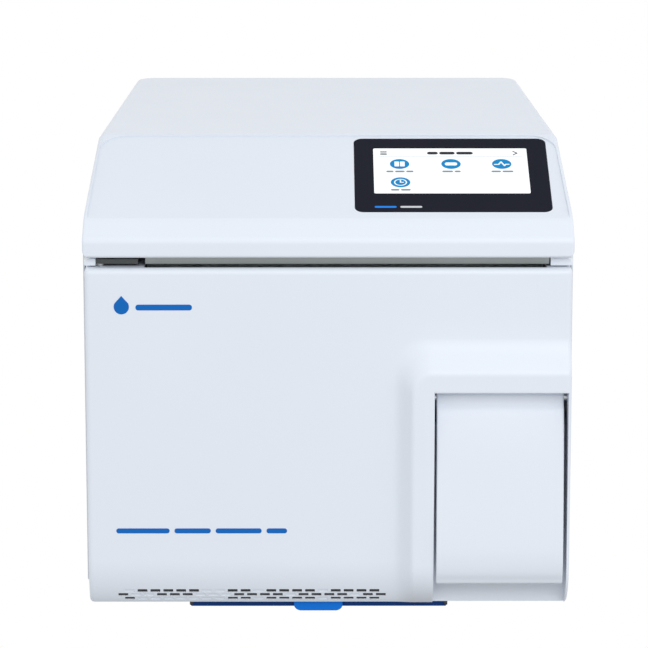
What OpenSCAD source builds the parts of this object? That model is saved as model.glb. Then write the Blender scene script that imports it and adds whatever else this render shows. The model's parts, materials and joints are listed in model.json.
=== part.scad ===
// Benchtop autoclave: front-loading steam steriliser with a full-width door,
// a sloping display hood, a tilting tank lid and a slide-out dust filter.
// X is to the right, Y to the rear, Z up. The origin is on the ground, under the
// middle of the whole object. All lengths are in millimetres.

/* [Housing] */
// Width of the display hood at its front
hood_w = 400; // [396:0.5:402]
// Height of the flat top above the ground
top_z = 386.5; // [384:0.5:390]
// Inward lean of each side wall towards the rear, in degrees
side_taper = 2.2; // [1.8:0.1:2.6]
// Slope of the display fascia, in degrees
fascia_tilt = 21; // [20.5:0.1:21.5]
// Thickness of moulded covers
skin = 3; // [2.5:0.1:3.2]

/* [Door] */
// Width of the door
door_w = 397; // [395:0.5:398]
// Height of the door's top edge above the ground
door_top = 298; // [296:0.5:298.5]
// Height of the oval round that forms the door's lower front, above its centre line
door_curve_r = 45; // [43:0.5:47]
// How far the lower right panel stands proud of the door
bulge_h = 14; // [13:0.5:14.5]
// Width of the handle plate
handle_w = 104.2; // [100:0.1:104.6]

/* [Chamber] */
// Inner radius of the pressure chamber
chamber_r = 85; // [83:0.5:86]
// Height of the chamber axis
chamber_z = 170; // [169:0.5:171]

/* [Vents] */
// Distance between neighbouring vent slots in a row
vent_pitch = 10.7; // [10.4:0.1:11]
// Length of a vent slot
vent_l = 7.6; // [6:0.1:8]

/* [Hidden] */
$fn = 64;
eps = 0.01;

// Main planes, front to rear
front_y = -252;
door_back_y = -195;
frame_y = -192;
crease_y = -112;
rear_y = 248;
port_end_y = 270;

// Heights
foot_h = 18;
floor_z = 20;
door_bottom = 13;
hood_bottom = 306.7;
lid_z = 352;
rear_top = 346;
frame_top = 304;

// Housing widths: the side panels stand a little wider than the hood
slope = tan(side_taper);
panel_half = 203.5;
panel_t = 2;
function hood_half(y) = hood_w / 2 - slope * (y - front_y);
function side_half(y) = panel_half - slope * (y - frame_y);

// Fascia: a straight slope from the nose up to the crease
nose_y = -236;
nose_low_z = 321.5;
nose_z = top_z - (crease_y - nose_y) * tan(fascia_tilt);

// Display, placed along the fascia from the crease down
bezel_x0 = 22;
bezel_w = 161.4;
bezel_l = 120;
bezel_gap = 5;
bezel_t = 2;
bezel_r = 7;
screen_x0 = 38;
screen_w = 129;
screen_l = 74;
screen_gap = 21.6;
screen_t = 0.6;
bar_l = 3;
bar_w = 18;
bar_gap = 115.5;
bar_x = [38, 59];

// Chamber
chamber_x = -25;
chamber_t = 2.5;
chamber_end_y = 50;
dish_l = 25;
flange_r = 108;
flange_front_y = -197;
jacket_r = 110;
jacket_in_r = 94;

// Door
door_half = door_w / 2;
curve_d = 24;
curve_y = front_y + curve_d;
curve_z = 52;
bulge_x0 = 57;
bulge_slope_w = 13;
bulge_z1 = 235;
bulge_slope_h = 23;
bulge_y = front_y - bulge_h;
liner_y = -200;
hinge_x = -186.5;
hinge_y = -234;
hinge_r = 4;
run = 0.05;
notch_x = -176;
notch_z = 38.3;
notch_low_z = 29.5;
trough_x = [-150, 178];
trough_z = 286;
rim_w = 6;
upper_plate_z = 300;
lower_plate_z = 32;
plate_t = 4;

// Handle and its recess
recess_x0 = 86.8;
recess_x1 = 196;
recess_top = 197;
recess_y = -222;
recess_gap_z = 162;
handle_x0 = recess_x0 + 2;
handle_y = -245.5;
handle_z = 189.5;
handle_r = 6.5;
handle_pin_r = 3;
handle_low = 37;
spring_x0 = 131;
spring_l = 20;

// Door lock on the right of the chamber
lock_x = 150;
lock_z = 240;
spindle_r = 6;
nut_bore_r = 9.5;
nut_hub_r = 12;
gear_module = 1.5;
nut_teeth = 24;
pinion_teeth = 12;
gear_gap = 0.3;
gear_y = -183.7;
gear_t = 11;
pinion_x = lock_x - gear_module * (nut_teeth + pinion_teeth) / 2 - gear_gap;
motor_y = -165;
motor_l = 50;
motor_r = 16;

// Latch hook
latch_x = 138;
latch_t = 6;
latch_y = -209;
latch_z = 180;

// Dust filter under the floor
filter_x0 = -115;
filter_x1 = 99;
filter_z0 = 7.7;
filter_z1 = 12.4;
filter_y0 = -232;
filter_y1 = 140;
tab_x0 = -28.5;
tab_x1 = 12;

// Lid hinge
lid_axis_y = 238;
lid_axis_z = 356;
lid_pin_r = 2.5;
lid_ear_x = 156;

// Tanks
tank_z = 284;
tank_h = 60;
tank_y0 = -92;
tank_y1 = 132;
tank_half = 168;

// Rear fan
fan_x = 60;
fan_z = 220;
fan_s = 80;
fan_t = 25;
fan_y = rear_y - panel_t - fan_t;
fan_hole_r = 38.5;

// Rear connections
inlet_x = -138;
inlet_z = 52;
switch_z = 95;
drain_x = [110, 145];
drain_z = 55;
drain_r = 5;
screw_r = 1.9;
screw_x = [-170, 170];
screw_z = [40, 140, 240, 330];

// ---- helpers ----

// Points of an arc from angle a0 to a1 about (cx, cy)
function arc(cx, cy, r, a0, a1, n = 10) =
    [for (i = [0:n]) [cx + r * cos(a0 + (a1 - a0) * i / n),
                      cy + r * sin(a0 + (a1 - a0) * i / n)]];

// Points of an oval with half axes rx and ry
function oval(cx, cy, rx, ry, a0, a1, n = 10) =
    [for (i = [0:n]) [cx + rx * cos(a0 + (a1 - a0) * i / n),
                      cy + ry * sin(a0 + (a1 - a0) * i / n)]];

// A box from corner to corner
module span(a, b) {
    translate(a) cube([b[0] - a[0], b[1] - a[1], b[2] - a[2]]);
}

// A (Y, Z) outline pushed along X
module along_x(x0, x1, pts) {
    translate([x0, 0, 0]) rotate([90, 0, 90]) linear_extrude(x1 - x0) polygon(pts);
}

// A rod along Y, from y0 to y1
module rod_y(x, z, y0, y1, r) {
    translate([x, y0, z]) rotate([-90, 0, 0]) cylinder(h = y1 - y0, r = r);
}

// A rod along X, from x0 to x1
module rod_x(y, z, x0, x1, r) {
    translate([x0, y, z]) rotate([0, 90, 0]) cylinder(h = x1 - x0, r = r);
}

// A rod along Z, from z0 to z1
module rod_z(x, y, z0, z1, r) {
    translate([x, y, z0]) cylinder(h = z1 - z0, r = r);
}

// A ring along Y
module ring_y(x, z, y0, y1, r_in, r_out) {
    difference() {
        rod_y(x, z, y0, y1, r_out);
        rod_y(x, z, y0 - 1, y1 + 1, r_in);
    }
}

// A full-width block with the plan taper of the hood and lid, inset by t
module tapered(y0, y1, z0, z1, t = 0) {
    a = hood_half(y0) - t;
    b = hood_half(y1) - t;
    translate([0, 0, z0])
        linear_extrude(z1 - z0) polygon([[-a, y0], [a, y0], [b, y1], [-b, y1]]);
}

// Puts its children on the fascia: x as it is, y down the slope from the crease,
// z out of the surface
module on_fascia() {
    translate([0, crease_y, top_z]) rotate([fascia_tilt, 0, 0]) mirror([0, 1, 0]) children();
}

// A flat plate with round corners
module round_plate(x0, y0, w, l, t, r) {
    translate([x0, y0, 0]) linear_extrude(t) polygon(concat(
        arc(w - r, r, r, -90, 0), arc(w - r, l - r, r, 0, 90),
        arc(r, l - r, r, 90, 180), arc(r, r, r, 180, 270)));
}

// ---- housing ----

module base_chassis() {
    rim = 14;
    wall = 2;
    function half(y) = side_half(y) - panel_t - 0.3;
    y0 = frame_y + 8.3;
    y1 = rear_y - panel_t - 0.3;
    slot_n = 7;
    slot_step = 26;
    color("gainsboro") difference() {
        translate([0, 0, foot_h]) linear_extrude(rim) polygon(
            [[-half(y0), y0], [half(y0), y0], [half(y1), y1], [-half(y1), y1]]);
        translate([0, 0, floor_z]) linear_extrude(rim) polygon(
            [[-half(y0) + wall, y0 + wall], [half(y0) - wall, y0 + wall],
             [half(y1) - wall, y1 - wall], [-half(y1) + wall, y1 - wall]]);
        for (i = [0:slot_n - 1])
            span([filter_x0 + 20 + i * slot_step, -70, foot_h - 1],
                 [filter_x0 + 32 + i * slot_step, 15, floor_z + 1]);
    }
}

module feet() {
    r = 15;
    color("dimgray") for (x = [-165, 165], y = [-150, 205]) {
        rod_z(x, y, 0, foot_h - 5, r);
        rod_z(x, y, foot_h - 5, foot_h, r - 5);
    }
}

// One side sheet, with its top stepped down under the hood and at the lid hinge
module side_sheet() {
    y0 = frame_y;
    y1 = rear_y;
    step_y = crease_y + 1;
    hinge_step_y = 226;
    difference() {
        translate([0, 0, foot_h]) linear_extrude(lid_z - 0.5 - foot_h) polygon(
            [[side_half(y0), y0], [side_half(y1), y1],
             [side_half(y1) - panel_t, y1], [side_half(y0) - panel_t, y0]]);
        span([150, y0 - 1, hood_bottom - 0.7], [220, step_y, lid_z]);
        span([150, hinge_step_y, rear_top], [220, y1 + 1, lid_z]);
    }
}

module side_panel_left() {
    color("whitesmoke") mirror([1, 0, 0]) side_sheet();
}

module side_panel_right() {
    color("whitesmoke") side_sheet();
}

module rear_panel() {
    half = side_half(rear_y) - panel_t - 0.3;
    ear_r = 5;
    ear_t = 4;
    grille_step = 9;
    color("whitesmoke") difference() {
        union() {
            span([-half, rear_y - panel_t, floor_z + 14], [half, rear_y, rear_top]);
            span([-half, rear_y - panel_t, foot_h], [half, rear_y, floor_z + 14 + eps]);
            for (s = [-1, 1]) mirror([s < 0 ? 1 : 0, 0, 0]) {
                rod_x(lid_axis_y, lid_axis_z, lid_ear_x, lid_ear_x + ear_t, ear_r);
                span([lid_ear_x, lid_axis_y - ear_r, rear_top - 30],
                     [lid_ear_x + ear_t, rear_y - panel_t + eps, rear_top]);
                span([lid_ear_x, lid_axis_y - ear_r, rear_top - eps],
                     [lid_ear_x + ear_t, lid_axis_y + ear_r, lid_axis_z]);
            }
        }
        for (s = [-1, 1])
            rod_x(lid_axis_y, lid_axis_z, s * lid_ear_x - 6, s * lid_ear_x + 6, lid_pin_r);
        for (i = [-4:4], j = [-4:4])
            if (norm([i, j]) * grille_step < fan_hole_r - 3)
                rod_y(fan_x + i * grille_step, fan_z + j * grille_step,
                      rear_y - 5, rear_y + 1, 3);
        span([inlet_x - 14, rear_y - 5, inlet_z - 10], [inlet_x + 14, rear_y + 1, inlet_z + 10]);
        span([inlet_x - 12, rear_y - 5, switch_z - 16], [inlet_x + 12, rear_y + 1, switch_z + 16]);
        for (x = drain_x) rod_y(x, drain_z, rear_y - 5, rear_y + 1, drain_r);
        rod_y(-110, 150, rear_y - 5, rear_y + 1, 6);
        for (x = screw_x, z = screw_z) rod_y(x, z, rear_y - 5, rear_y + 1, screw_r + 0.2);
    }
}

module front_frame() {
    half = side_half(frame_y) - panel_t - 0.5;
    t = 8;
    color("silver") difference() {
        union() {
            span([-half, frame_y, foot_h], [half, frame_y + t, frame_top]);
            span([181, -244, 299.5], [199, frame_y + eps, 305.5]);
            span([-199, -244, 299.5], [-194, frame_y + eps, 305.5]);
        }
        rod_y(chamber_x, chamber_z, frame_y - 1, frame_y + t + 1, flange_r);
        rod_y(lock_x, lock_z, frame_y - 1, frame_y + t + 1, nut_hub_r + run);
        span([latch_x - 4, frame_y - 1, latch_z - 13], [latch_x + 10, frame_y + t + 1, latch_z + 15]);
    }
}

// Outline of the hood from the side, inset by t and longer by back at the rear
function hood_profile(t, back) = [
    [front_y + t, hood_bottom + t], [front_y + t, nose_low_z],
    [nose_y + t * 0.6, nose_z - t],
    [crease_y + back, top_z - t / cos(fascia_tilt) + back * tan(fascia_tilt)],
    [crease_y + back, hood_bottom + t]];

module display_hood() {
    color("whitesmoke") difference() {
        intersection() {
            along_x(-hood_w, hood_w, hood_profile(0, 0));
            tapered(front_y, crease_y, hood_bottom - 1, top_z + 1);
        }
        intersection() {
            along_x(-hood_w, hood_w, hood_profile(skin, 4));
            tapered(front_y, crease_y + 3, hood_bottom - 1, top_z + 1, skin);
        }
        tapered(frame_y + 2, crease_y + 2, hood_bottom - 1, hood_bottom + skin + 1, skin + 1);
        on_fascia() translate([0, 0, -bezel_t])
            round_plate(bezel_x0, bezel_gap, bezel_w, bezel_l, bezel_t + 1, bezel_r);
        on_fascia() translate([0, 0, -20])
            round_plate(screen_x0 + 10, screen_gap + 10, screen_w - 20, screen_l - 20, 20, 3);
    }
}

module top_lid() {
    t = 2.5;
    ear_t = 3;
    ear_x = lid_ear_x + 4.3;
    ear_r = 6;
    color("whitesmoke") difference() {
        union() {
            difference() {
                tapered(crease_y + 0.6, rear_y - 2, lid_z, top_z);
                tapered(crease_y + 0.6 + t, rear_y - 2 - t, lid_z - 1, top_z - t, t);
            }
            for (s = [-1, 1]) mirror([s < 0 ? 1 : 0, 0, 0]) {
                rod_x(lid_axis_y, lid_axis_z, ear_x, ear_x + ear_t, ear_r);
                span([ear_x, lid_axis_y - ear_r, lid_axis_z],
                     [ear_x + ear_t, lid_axis_y + ear_r, top_z - t + eps]);
            }
        }
        for (s = [-1, 1]) {
            rod_x(lid_axis_y, lid_axis_z, s * (ear_x + 1) - 5, s * (ear_x + 1) + 5, lid_pin_r + run);
            span([s * (lid_ear_x + 2) - 3, lid_axis_y + 3, lid_z - 1],
                 [s * (lid_ear_x + 2) + 3, rear_y, lid_axis_z + 9]);
        }
    }
}

module lid_hinge_pins() {
    color("silver") for (s = [-1, 1])
        mirror([s < 0 ? 1 : 0, 0, 0])
            rod_x(lid_axis_y, lid_axis_z, lid_ear_x - 3, lid_ear_x + 8.5, lid_pin_r);
}

// ---- display ----

module display_glass() {
    color([0.13, 0.13, 0.16]) on_fascia() translate([0, 0, -bezel_t]) difference() {
        round_plate(bezel_x0, bezel_gap, bezel_w, bezel_l, bezel_t, bezel_r);
        translate([0, 0, bezel_t - screen_t])
            round_plate(screen_x0, screen_gap, screen_w, screen_l, 1, 1.5);
        for (x = bar_x) translate([0, 0, bezel_t - screen_t])
            round_plate(x, bar_gap, bar_w, bar_l, 1, 0.6);
    }
}

module display_screen() {
    color("white") on_fascia() translate([0, 0, -screen_t])
        round_plate(screen_x0, screen_gap, screen_w, screen_l, screen_t, 1.5);
}

module status_light_bars() {
    color("dodgerblue") on_fascia() translate([0, 0, -screen_t])
        for (x = bar_x) round_plate(x, bar_gap, bar_w, bar_l, screen_t, 0.6);
}

module display_board() {
    board_t = 1.6;
    depth = 14;
    post_r = 2.5;
    post_h = 7.5;
    color("seagreen") on_fascia() {
        translate([0, 0, -depth]) round_plate(screen_x0, screen_gap, screen_w, screen_l, board_t, 2);
        for (x = [screen_x0 + 4, screen_x0 + screen_w - 4], y = [screen_gap + 4, screen_gap + screen_l - 4])
            translate([x, y, -depth + board_t - eps])
                cylinder(h = post_h, r = post_r);
        translate([screen_x0 + 30, screen_gap + 20, -depth - 5]) cube([40, 30, 5 + eps]);
    }
}

// ---- chamber ----

module chamber() {
    out_r = chamber_r + chamber_t;
    end_r = 40;
    port_r = 8;
    color("silver") translate([chamber_x, 0, chamber_z]) rotate([-90, 0, 0]) {
        rotate_extrude() polygon(concat(
            [[chamber_r, flange_front_y], [out_r, flange_front_y], [out_r, chamber_end_y],
             [end_r, chamber_end_y + dish_l + chamber_t], [port_r, chamber_end_y + dish_l + chamber_t],
             [port_r, chamber_end_y + dish_l + 8], [0, chamber_end_y + dish_l + 8],
             [0, chamber_end_y + dish_l], [end_r, chamber_end_y + dish_l],
             [chamber_r, chamber_end_y]]));
    }
}

module chamber_flange() {
    color("silver") ring_y(chamber_x, chamber_z, flange_front_y, -182, chamber_r + chamber_t, flange_r);
}

module insulation_jacket() {
    color("darkgray") ring_y(chamber_x, chamber_z, -181.5, chamber_end_y, jacket_in_r, jacket_r);
}

module heater_bands() {
    color("peru") for (y = [-150, -80, -10])
        ring_y(chamber_x, chamber_z, y, y + 34, chamber_r + chamber_t, chamber_r + chamber_t + 4);
}

module chamber_brackets() {
    color("silver") difference() {
        for (y = [-88, 22]) span([-140, y, floor_z], [88, y + 4, tank_z]);
        rod_y(chamber_x, chamber_z, -100, 40, jacket_r);
    }
}

rack_half = 66;
rack_z = [128, 158, 188];
rack_y0 = -176;
rack_y1 = 44;

module chamber_rack() {
    wall = 1.5;
    lip = 6;
    color("silver") translate([chamber_x, 0, 0]) {
        for (s = [-1, 1]) mirror([s < 0 ? 1 : 0, 0, 0]) {
            span([rack_half, rack_y0, rack_z[0] - 4], [rack_half + wall, rack_y1, rack_z[2] + 24]);
            for (z = rack_z)
                span([rack_half - lip, rack_y0, z - wall], [rack_half + eps, rack_y1, z]);
        }
        for (y = [rack_y0, rack_y1 - 10])
            span([-rack_half - eps, y, rack_z[0] - 4], [rack_half + eps, y + 10, rack_z[0] - wall - 0.5]);
    }
}

// A shallow tray that rests on the rack's lips at height z
module tray(z) {
    half = rack_half - 1;
    wall = 1.5;
    h = 12;
    color("lightsteelblue") translate([chamber_x, 0, z]) difference() {
        span([-half, rack_y0, 0], [half, rack_y1 - 12, h]);
        span([-half + wall, rack_y0 + wall, wall], [half - wall, rack_y1 - 12 - wall, h + 1]);
        for (x = [-45:15:45], y = [rack_y0 + 20:40:rack_y1 - 30])
            rod_z(x, y, -1, wall + 1, 3);
    }
}

module tray_1() {
    tray(rack_z[0]);
}

module tray_2() {
    tray(rack_z[1]);
}

module tray_3() {
    tray(rack_z[2]);
}

// ---- water side ----

// A hollow tank with a filler neck, on the right of the centre line
module tank() {
    wall = 2.5;
    gap = 3;
    neck_r = 18;
    neck_x = 85;
    neck_y = -50;
    difference() {
        union() {
            span([gap, tank_y0, tank_z], [tank_half, tank_y1, tank_z + tank_h]);
            rod_z(neck_x, neck_y, tank_z + tank_h - eps, tank_z + tank_h + 8, neck_r);
        }
        span([gap + wall, tank_y0 + wall, tank_z + wall],
             [tank_half - wall, tank_y1 - wall, tank_z + tank_h - wall]);
        rod_z(neck_x, neck_y, tank_z + tank_h - 5, tank_z + tank_h + 9, neck_r - wall);
    }
}

module feed_tank() {
    color("aliceblue") mirror([1, 0, 0]) tank();
}

module waste_tank() {
    color("lightgray") tank();
}

module tank_caps() {
    color("royalblue") for (x = [-85, 85]) difference() {
        rod_z(x, -50, tank_z + tank_h + 1, tank_z + tank_h + 13, 22);
        rod_z(x, -50, tank_z + tank_h, tank_z + tank_h + 8, 18);
    }
}

module steam_generator() {
    x = 142;
    y = 30;
    color("silver") {
        rod_z(x, y, floor_z, floor_z + 6, 38);
        rod_z(x, y, floor_z + 6 - eps, floor_z + 140, 32);
        rod_z(x, y, floor_z + 140 - eps, floor_z + 152, 12);
    }
}

module vacuum_pump() {
    color("dimgray") {
        span([-80, 130, floor_z], [60, 200, floor_z + 6]);
        rod_x(165, floor_z + 42, -78, 10, 34);
        span([10 - eps, 140, floor_z + 5], [52, 190, floor_z + 80]);
        rod_x(165, floor_z + 42, 52 - eps, 58, 20);
        span([-60, 150, floor_z + 5], [-10, 180, floor_z + 12]);
    }
}

module feed_pump() {
    color("slategray") {
        span([110, 110, floor_z], [160, 170, floor_z + 5]);
        rod_y(135, floor_z + 30, 112, 160, 24);
        rod_y(135, floor_z + 30, 160 - eps, 178, 12);
        span([125, 118, floor_z + 4], [145, 158, floor_z + 10]);
    }
}

valve_x = -40;
valve_z = 170;

module valve_block() {
    color("goldenrod") span([valve_x - 35, 222, valve_z - 15], [valve_x + 35, rear_y - panel_t, valve_z + 15]);
}

module solenoid_valves() {
    color("dimgray") for (x = [-24, 0, 24]) {
        rod_z(valve_x + x, 234, valve_z + 15, valve_z + 19, 5);
        rod_z(valve_x + x, 234, valve_z + 19 - eps, valve_z + 55, 10);
    }
}

module condenser() {
    y0 = 182;
    y1 = fan_y - 2;
    fin_step = 6;
    color("tan") {
        for (i = [0:14]) span([fan_x - 44 + i * fin_step, y0, fan_z - 42],
                              [fan_x - 42.6 + i * fin_step, y1, fan_z + 42]);
        for (z = [-36:18:36]) rod_x((y0 + y1) / 2, fan_z + z, fan_x - 50, fan_x + 48, 4);
        for (s = [-1, 1]) span([fan_x + s * 48 - 3, y0, fan_z - 42], [fan_x + s * 48 + 3, y1, fan_z + 42]);
    }
}

module fan_frame() {
    half = fan_s / 2;
    color([0.16, 0.16, 0.17]) {
        difference() {
            span([fan_x - half, fan_y, fan_z - half], [fan_x + half, fan_y + fan_t, fan_z + half]);
            rod_y(fan_x, fan_z, fan_y - 1, fan_y + fan_t + 1, fan_hole_r);
        }
        for (a = [0:90:270]) translate([fan_x, 0, fan_z]) rotate([0, a, 0])
            span([14, fan_y, -2], [fan_hole_r + 0.5, fan_y + 3, 2]);
        rod_y(fan_x, fan_z, fan_y, fan_y + 3, 15);
        rod_y(fan_x, fan_z, fan_y + 3 - eps, fan_y + 20, 2.5);
    }
}

module fan_rotor() {
    blades = 7;
    blade_pitch = 32;
    color([0.2, 0.2, 0.22]) difference() {
        union() {
            rod_y(fan_x, fan_z, fan_y + 5, fan_y + 22, 17);
            for (i = [0:blades - 1]) translate([fan_x, fan_y + 13.5, fan_z])
                rotate([0, i * 360 / blades, 0]) rotate([blade_pitch, 0, 0])
                    translate([15, -1, -11]) cube([21, 2, 22]);
        }
        rod_y(fan_x, fan_z, fan_y + 4, fan_y + 20 + run, 2.5 + run);
    }
}

module pipework() {
    r = 4;
    pump_x = -40;
    bend_z = 130;
    pump_top = floor_z + 12;
    port_y = chamber_end_y + dish_l + 8;
    color("silver") {
        rod_y(chamber_x, chamber_z, port_y, 222, r);
        rod_z(pump_x, 228, bend_z, valve_z - 15, r);
        translate([pump_x, 228, bend_z]) sphere(r = r + 0.8);
        rod_y(pump_x, bend_z, 160, 228, r);
        translate([pump_x, 160, bend_z]) sphere(r = r + 0.8);
        rod_z(pump_x, 160, floor_z + 76.5, bend_z, r);
    }
}

module safety_valve() {
    color("goldenrod") {
        rod_y(-110, 150, 222, rear_y, 6);
        rod_y(-110, 150, rear_y - eps, rear_y + 5, 9);
        rod_y(-110, 150, rear_y + 5 - eps, rear_y + 14, 6);
    }
}

module air_filter() {
    color("whitesmoke") {
        rod_z(140, -60, 200, 250, 22);
        rod_z(140, -60, 250 - eps, 258, 8);
        rod_z(140, -60, 190, 200 + eps, 8);
        span([140, -66, 221], [side_half(-60) - panel_t - 1.5, -54, 229]);
    }
}

module drain_couplings() {
    color("silver") for (x = drain_x) {
        rod_y(x, drain_z, rear_y - 12, rear_y, drain_r);
        rod_y(x, drain_z, rear_y - eps, rear_y + 6, drain_r + 4);
        rod_y(x, drain_z, rear_y + 6 - eps, port_end_y, drain_r);
    }
}

// ---- electrics ----

module power_supply() {
    color("silver") difference() {
        span([-182, -20, floor_z], [-142, 165, floor_z + 86]);
        for (y = [-5:10:150]) span([-143, y, floor_z + 20], [-130, y + 4, floor_z + 70]);
    }
}

module control_board() {
    base = floor_z + 86;
    color("seagreen") {
        span([-176, -10, base], [-174.4, 140, base + 120]);
        span([-174.4 - eps, 10, base + 60], [-160, 50, base + 100]);
        span([-174.4 - eps, 70, base + 30], [-162, 84, base + 80]);
        span([-174.4 - eps, 100, base + 20], [-156, 125, base + 60]);
    }
}

module mains_inlet() {
    color([0.1, 0.1, 0.11]) {
        difference() {
            union() {
                span([inlet_x - 14, rear_y - 18, inlet_z - 10], [inlet_x + 14, rear_y + 1, inlet_z + 10]);
                span([inlet_x - 25, rear_y, inlet_z - 11.5], [inlet_x + 25, rear_y + 3, inlet_z + 11.5]);
            }
            span([inlet_x - 12, rear_y - 15, inlet_z - 8], [inlet_x + 12, rear_y + 5, inlet_z + 8]);
        }
        for (x = [-7, 0, 7]) span([inlet_x + x - 1, rear_y - 15.5, inlet_z - 2 + (x == 0 ? 3 : 0)],
                                  [inlet_x + x + 1, rear_y - 1, inlet_z + 2 + (x == 0 ? 3 : 0)]);
    }
}

rocker_y = rear_y - 1;

module mains_switch() {
    color([0.1, 0.1, 0.11]) difference() {
        union() {
            span([inlet_x - 12, rear_y - 18, switch_z - 16], [inlet_x + 12, rear_y + 1, switch_z + 16]);
            span([inlet_x - 14, rear_y, switch_z - 18], [inlet_x + 14, rear_y + 2, switch_z + 18]);
        }
        span([inlet_x - 8, rear_y - 13, switch_z - 13], [inlet_x + 8, rear_y + 3, switch_z + 13]);
        rod_x(rocker_y, switch_z, inlet_x - 10.3, inlet_x + 10.3, 1.5 + run);
    }
}

module switch_rocker() {
    rest_tilt = 8;
    color("firebrick") {
        translate([0, rocker_y, switch_z]) rotate([rest_tilt, 0, 0]) translate([0, -rocker_y, -switch_z])
            along_x(inlet_x - 7.5, inlet_x + 7.5, [
                [rocker_y - 5, switch_z - 6], [rocker_y + 3.5, switch_z - 11.5],
                [rocker_y + 2.5, switch_z], [rocker_y + 3.5, switch_z + 11.5],
                [rocker_y - 5, switch_z + 6]]);
        rod_x(rocker_y, switch_z, inlet_x - 10, inlet_x + 10, 1.5);
    }
}

// ---- door lock drive ----

// A spur gear outline with straight-flanked teeth
function gear_points(teeth, turn) = [for (i = [0:teeth - 1]) each gear_tooth(teeth, i * 360 / teeth + turn)];
function gear_tooth(teeth, a) =
    let (pr = gear_module * teeth / 2,
         root = pr - 1.8, tip = pr + 1.2,
         root_a = 1.45 / root * 180 / PI, tip_a = 0.45 / tip * 180 / PI)
    [for (p = [[root, -root_a], [tip, -tip_a], [tip, tip_a], [root, root_a]])
        [p[0] * cos(a + p[1]), p[0] * sin(a + p[1])]];

module lock_nut() {
    color("goldenrod") difference() {
        union() {
            translate([lock_x, gear_y + gear_t, lock_z]) rotate([90, 0, 0])
                linear_extrude(gear_t) polygon(gear_points(nut_teeth, 180 / nut_teeth));
            rod_y(lock_x, lock_z, frame_y + 2, gear_y + eps, nut_hub_r);
        }
        rod_y(lock_x, lock_z, frame_y, gear_y + gear_t + 1, nut_bore_r);
    }
}

module lock_pinion() {
    color("gold") {
        translate([pinion_x, gear_y + gear_t, lock_z]) rotate([90, 0, 0])
            linear_extrude(gear_t) polygon(gear_points(pinion_teeth, 0));
        rod_y(pinion_x, lock_z, gear_y + gear_t - eps, motor_y + 12, 2.5);
    }
}

module lock_motor() {
    plate_t = 3;
    color("silver") difference() {
        union() {
            span([pinion_x - 22, motor_y, lock_z - 30], [pinion_x + 18, motor_y + plate_t, lock_z + 30]);
            for (z = [-24, 24]) rod_y(pinion_x, lock_z + z, frame_y + 8, motor_y + eps, 4);
            rod_y(pinion_x, lock_z, motor_y + plate_t - eps, motor_y + motor_l, motor_r);
        }
        rod_y(pinion_x, lock_z, motor_y - 1, motor_y + 13, 2.5 + run);
    }
}

// ---- hinge ----

module hinge_brackets() {
    color("dimgray") difference() {
        union() {
            span([-193, hinge_y - 7, upper_plate_z], [-155, frame_y, upper_plate_z + plate_t]);
            span([hinge_x - 5, hinge_y, lower_plate_z], [hinge_x + 5, frame_y, lower_plate_z + plate_t]);
            rod_z(hinge_x, hinge_y, lower_plate_z, lower_plate_z + plate_t, 7);
        }
        rod_z(hinge_x, hinge_y, upper_plate_z - 1, upper_plate_z + plate_t + 1, hinge_r);
        rod_z(hinge_x, hinge_y, lower_plate_z - 1, lower_plate_z + plate_t + 1, hinge_r);
    }
}

module hinge_pins() {
    color("silver") {
        rod_z(hinge_x, hinge_y, 272, upper_plate_z + plate_t, hinge_r);
        rod_z(hinge_x, hinge_y, lower_plate_z, 58, hinge_r);
    }
}

// ---- dust filter ----

module filter_rails() {
    lip_z = 5;
    color("silver") for (s = [-1, 1])
        translate([(filter_x0 + filter_x1) / 2, 0, 0]) mirror([s < 0 ? 1 : 0, 0, 0]) {
            half = (filter_x1 - filter_x0) / 2;
            span([half + 0.6, -186, lip_z], [half + 4, 150, foot_h]);
            span([half - 5, -186, lip_z], [half + 1, 150, lip_z + 2]);
        }
}

module dust_filter_frame() {
    w = 11;
    color([0.05, 0.24, 0.5]) difference() {
        union() {
            span([filter_x0, filter_y0, filter_z0], [filter_x1, filter_y1, filter_z1]);
            span([tab_x0, filter_y0 - 4, 4], [tab_x1, filter_y0 + 4, filter_z1]);
        }
        span([filter_x0 + w, filter_y0 + w, filter_z0 - 1], [filter_x1 - w, filter_y1 - w, filter_z1 + 1]);
    }
}

module dust_filter_mat() {
    w = 11;
    color([0.25, 0.25, 0.27])
        span([filter_x0 + w, filter_y0 + w, filter_z0 + 0.5], [filter_x1 - w, filter_y1 - w, filter_z1 - 0.5]);
}

// ---- door ----

// Side outline of the door, proud of the door face by p and inset by t
function door_profile(p, t) = concat(
    [[liner_y, door_top - t], [front_y - p + t + 5, door_top - t]],
    arc(front_y - p + t + 5, door_top - t - 5, 5, 90, 180, 4),
    oval(curve_y, curve_z, curve_d + p - t, door_curve_r - t, 180,
        180 + asin((curve_z - door_bottom) / door_curve_r), 12),
    [[liner_y, door_bottom + t]]);

// The proud lower right panel, inset by t
module bulge(t) {
    lean = atan2(bulge_slope_w, bulge_h);
    top_lean = atan2(bulge_slope_h, bulge_h);
    difference() {
        along_x(bulge_x0 + t, door_half - t, door_profile(bulge_h, t));
        translate([bulge_x0 + t, front_y, 0]) rotate([0, 0, lean]) translate([-60, -80, 0])
            cube([60, 100, 320]);
        translate([0, front_y, bulge_z1 - t]) rotate([-(90 - top_lean), 0, 0])
            translate([0, -80, 0]) cube([220, 160, 120]);
    }
}

// The hollow behind the handle: full depth above, scooping forward to the bottom
module recess_space(t) {
    along_x(recess_x0 - t, recess_x1 + t, [
        [-290, recess_top + t], [recess_y + t, recess_top + t], [recess_y + t, 110],
        [recess_y - 10 + t, 57], [recess_y - 20 + t, door_bottom - 1], [-290, door_bottom - 1]]);
}

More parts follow.
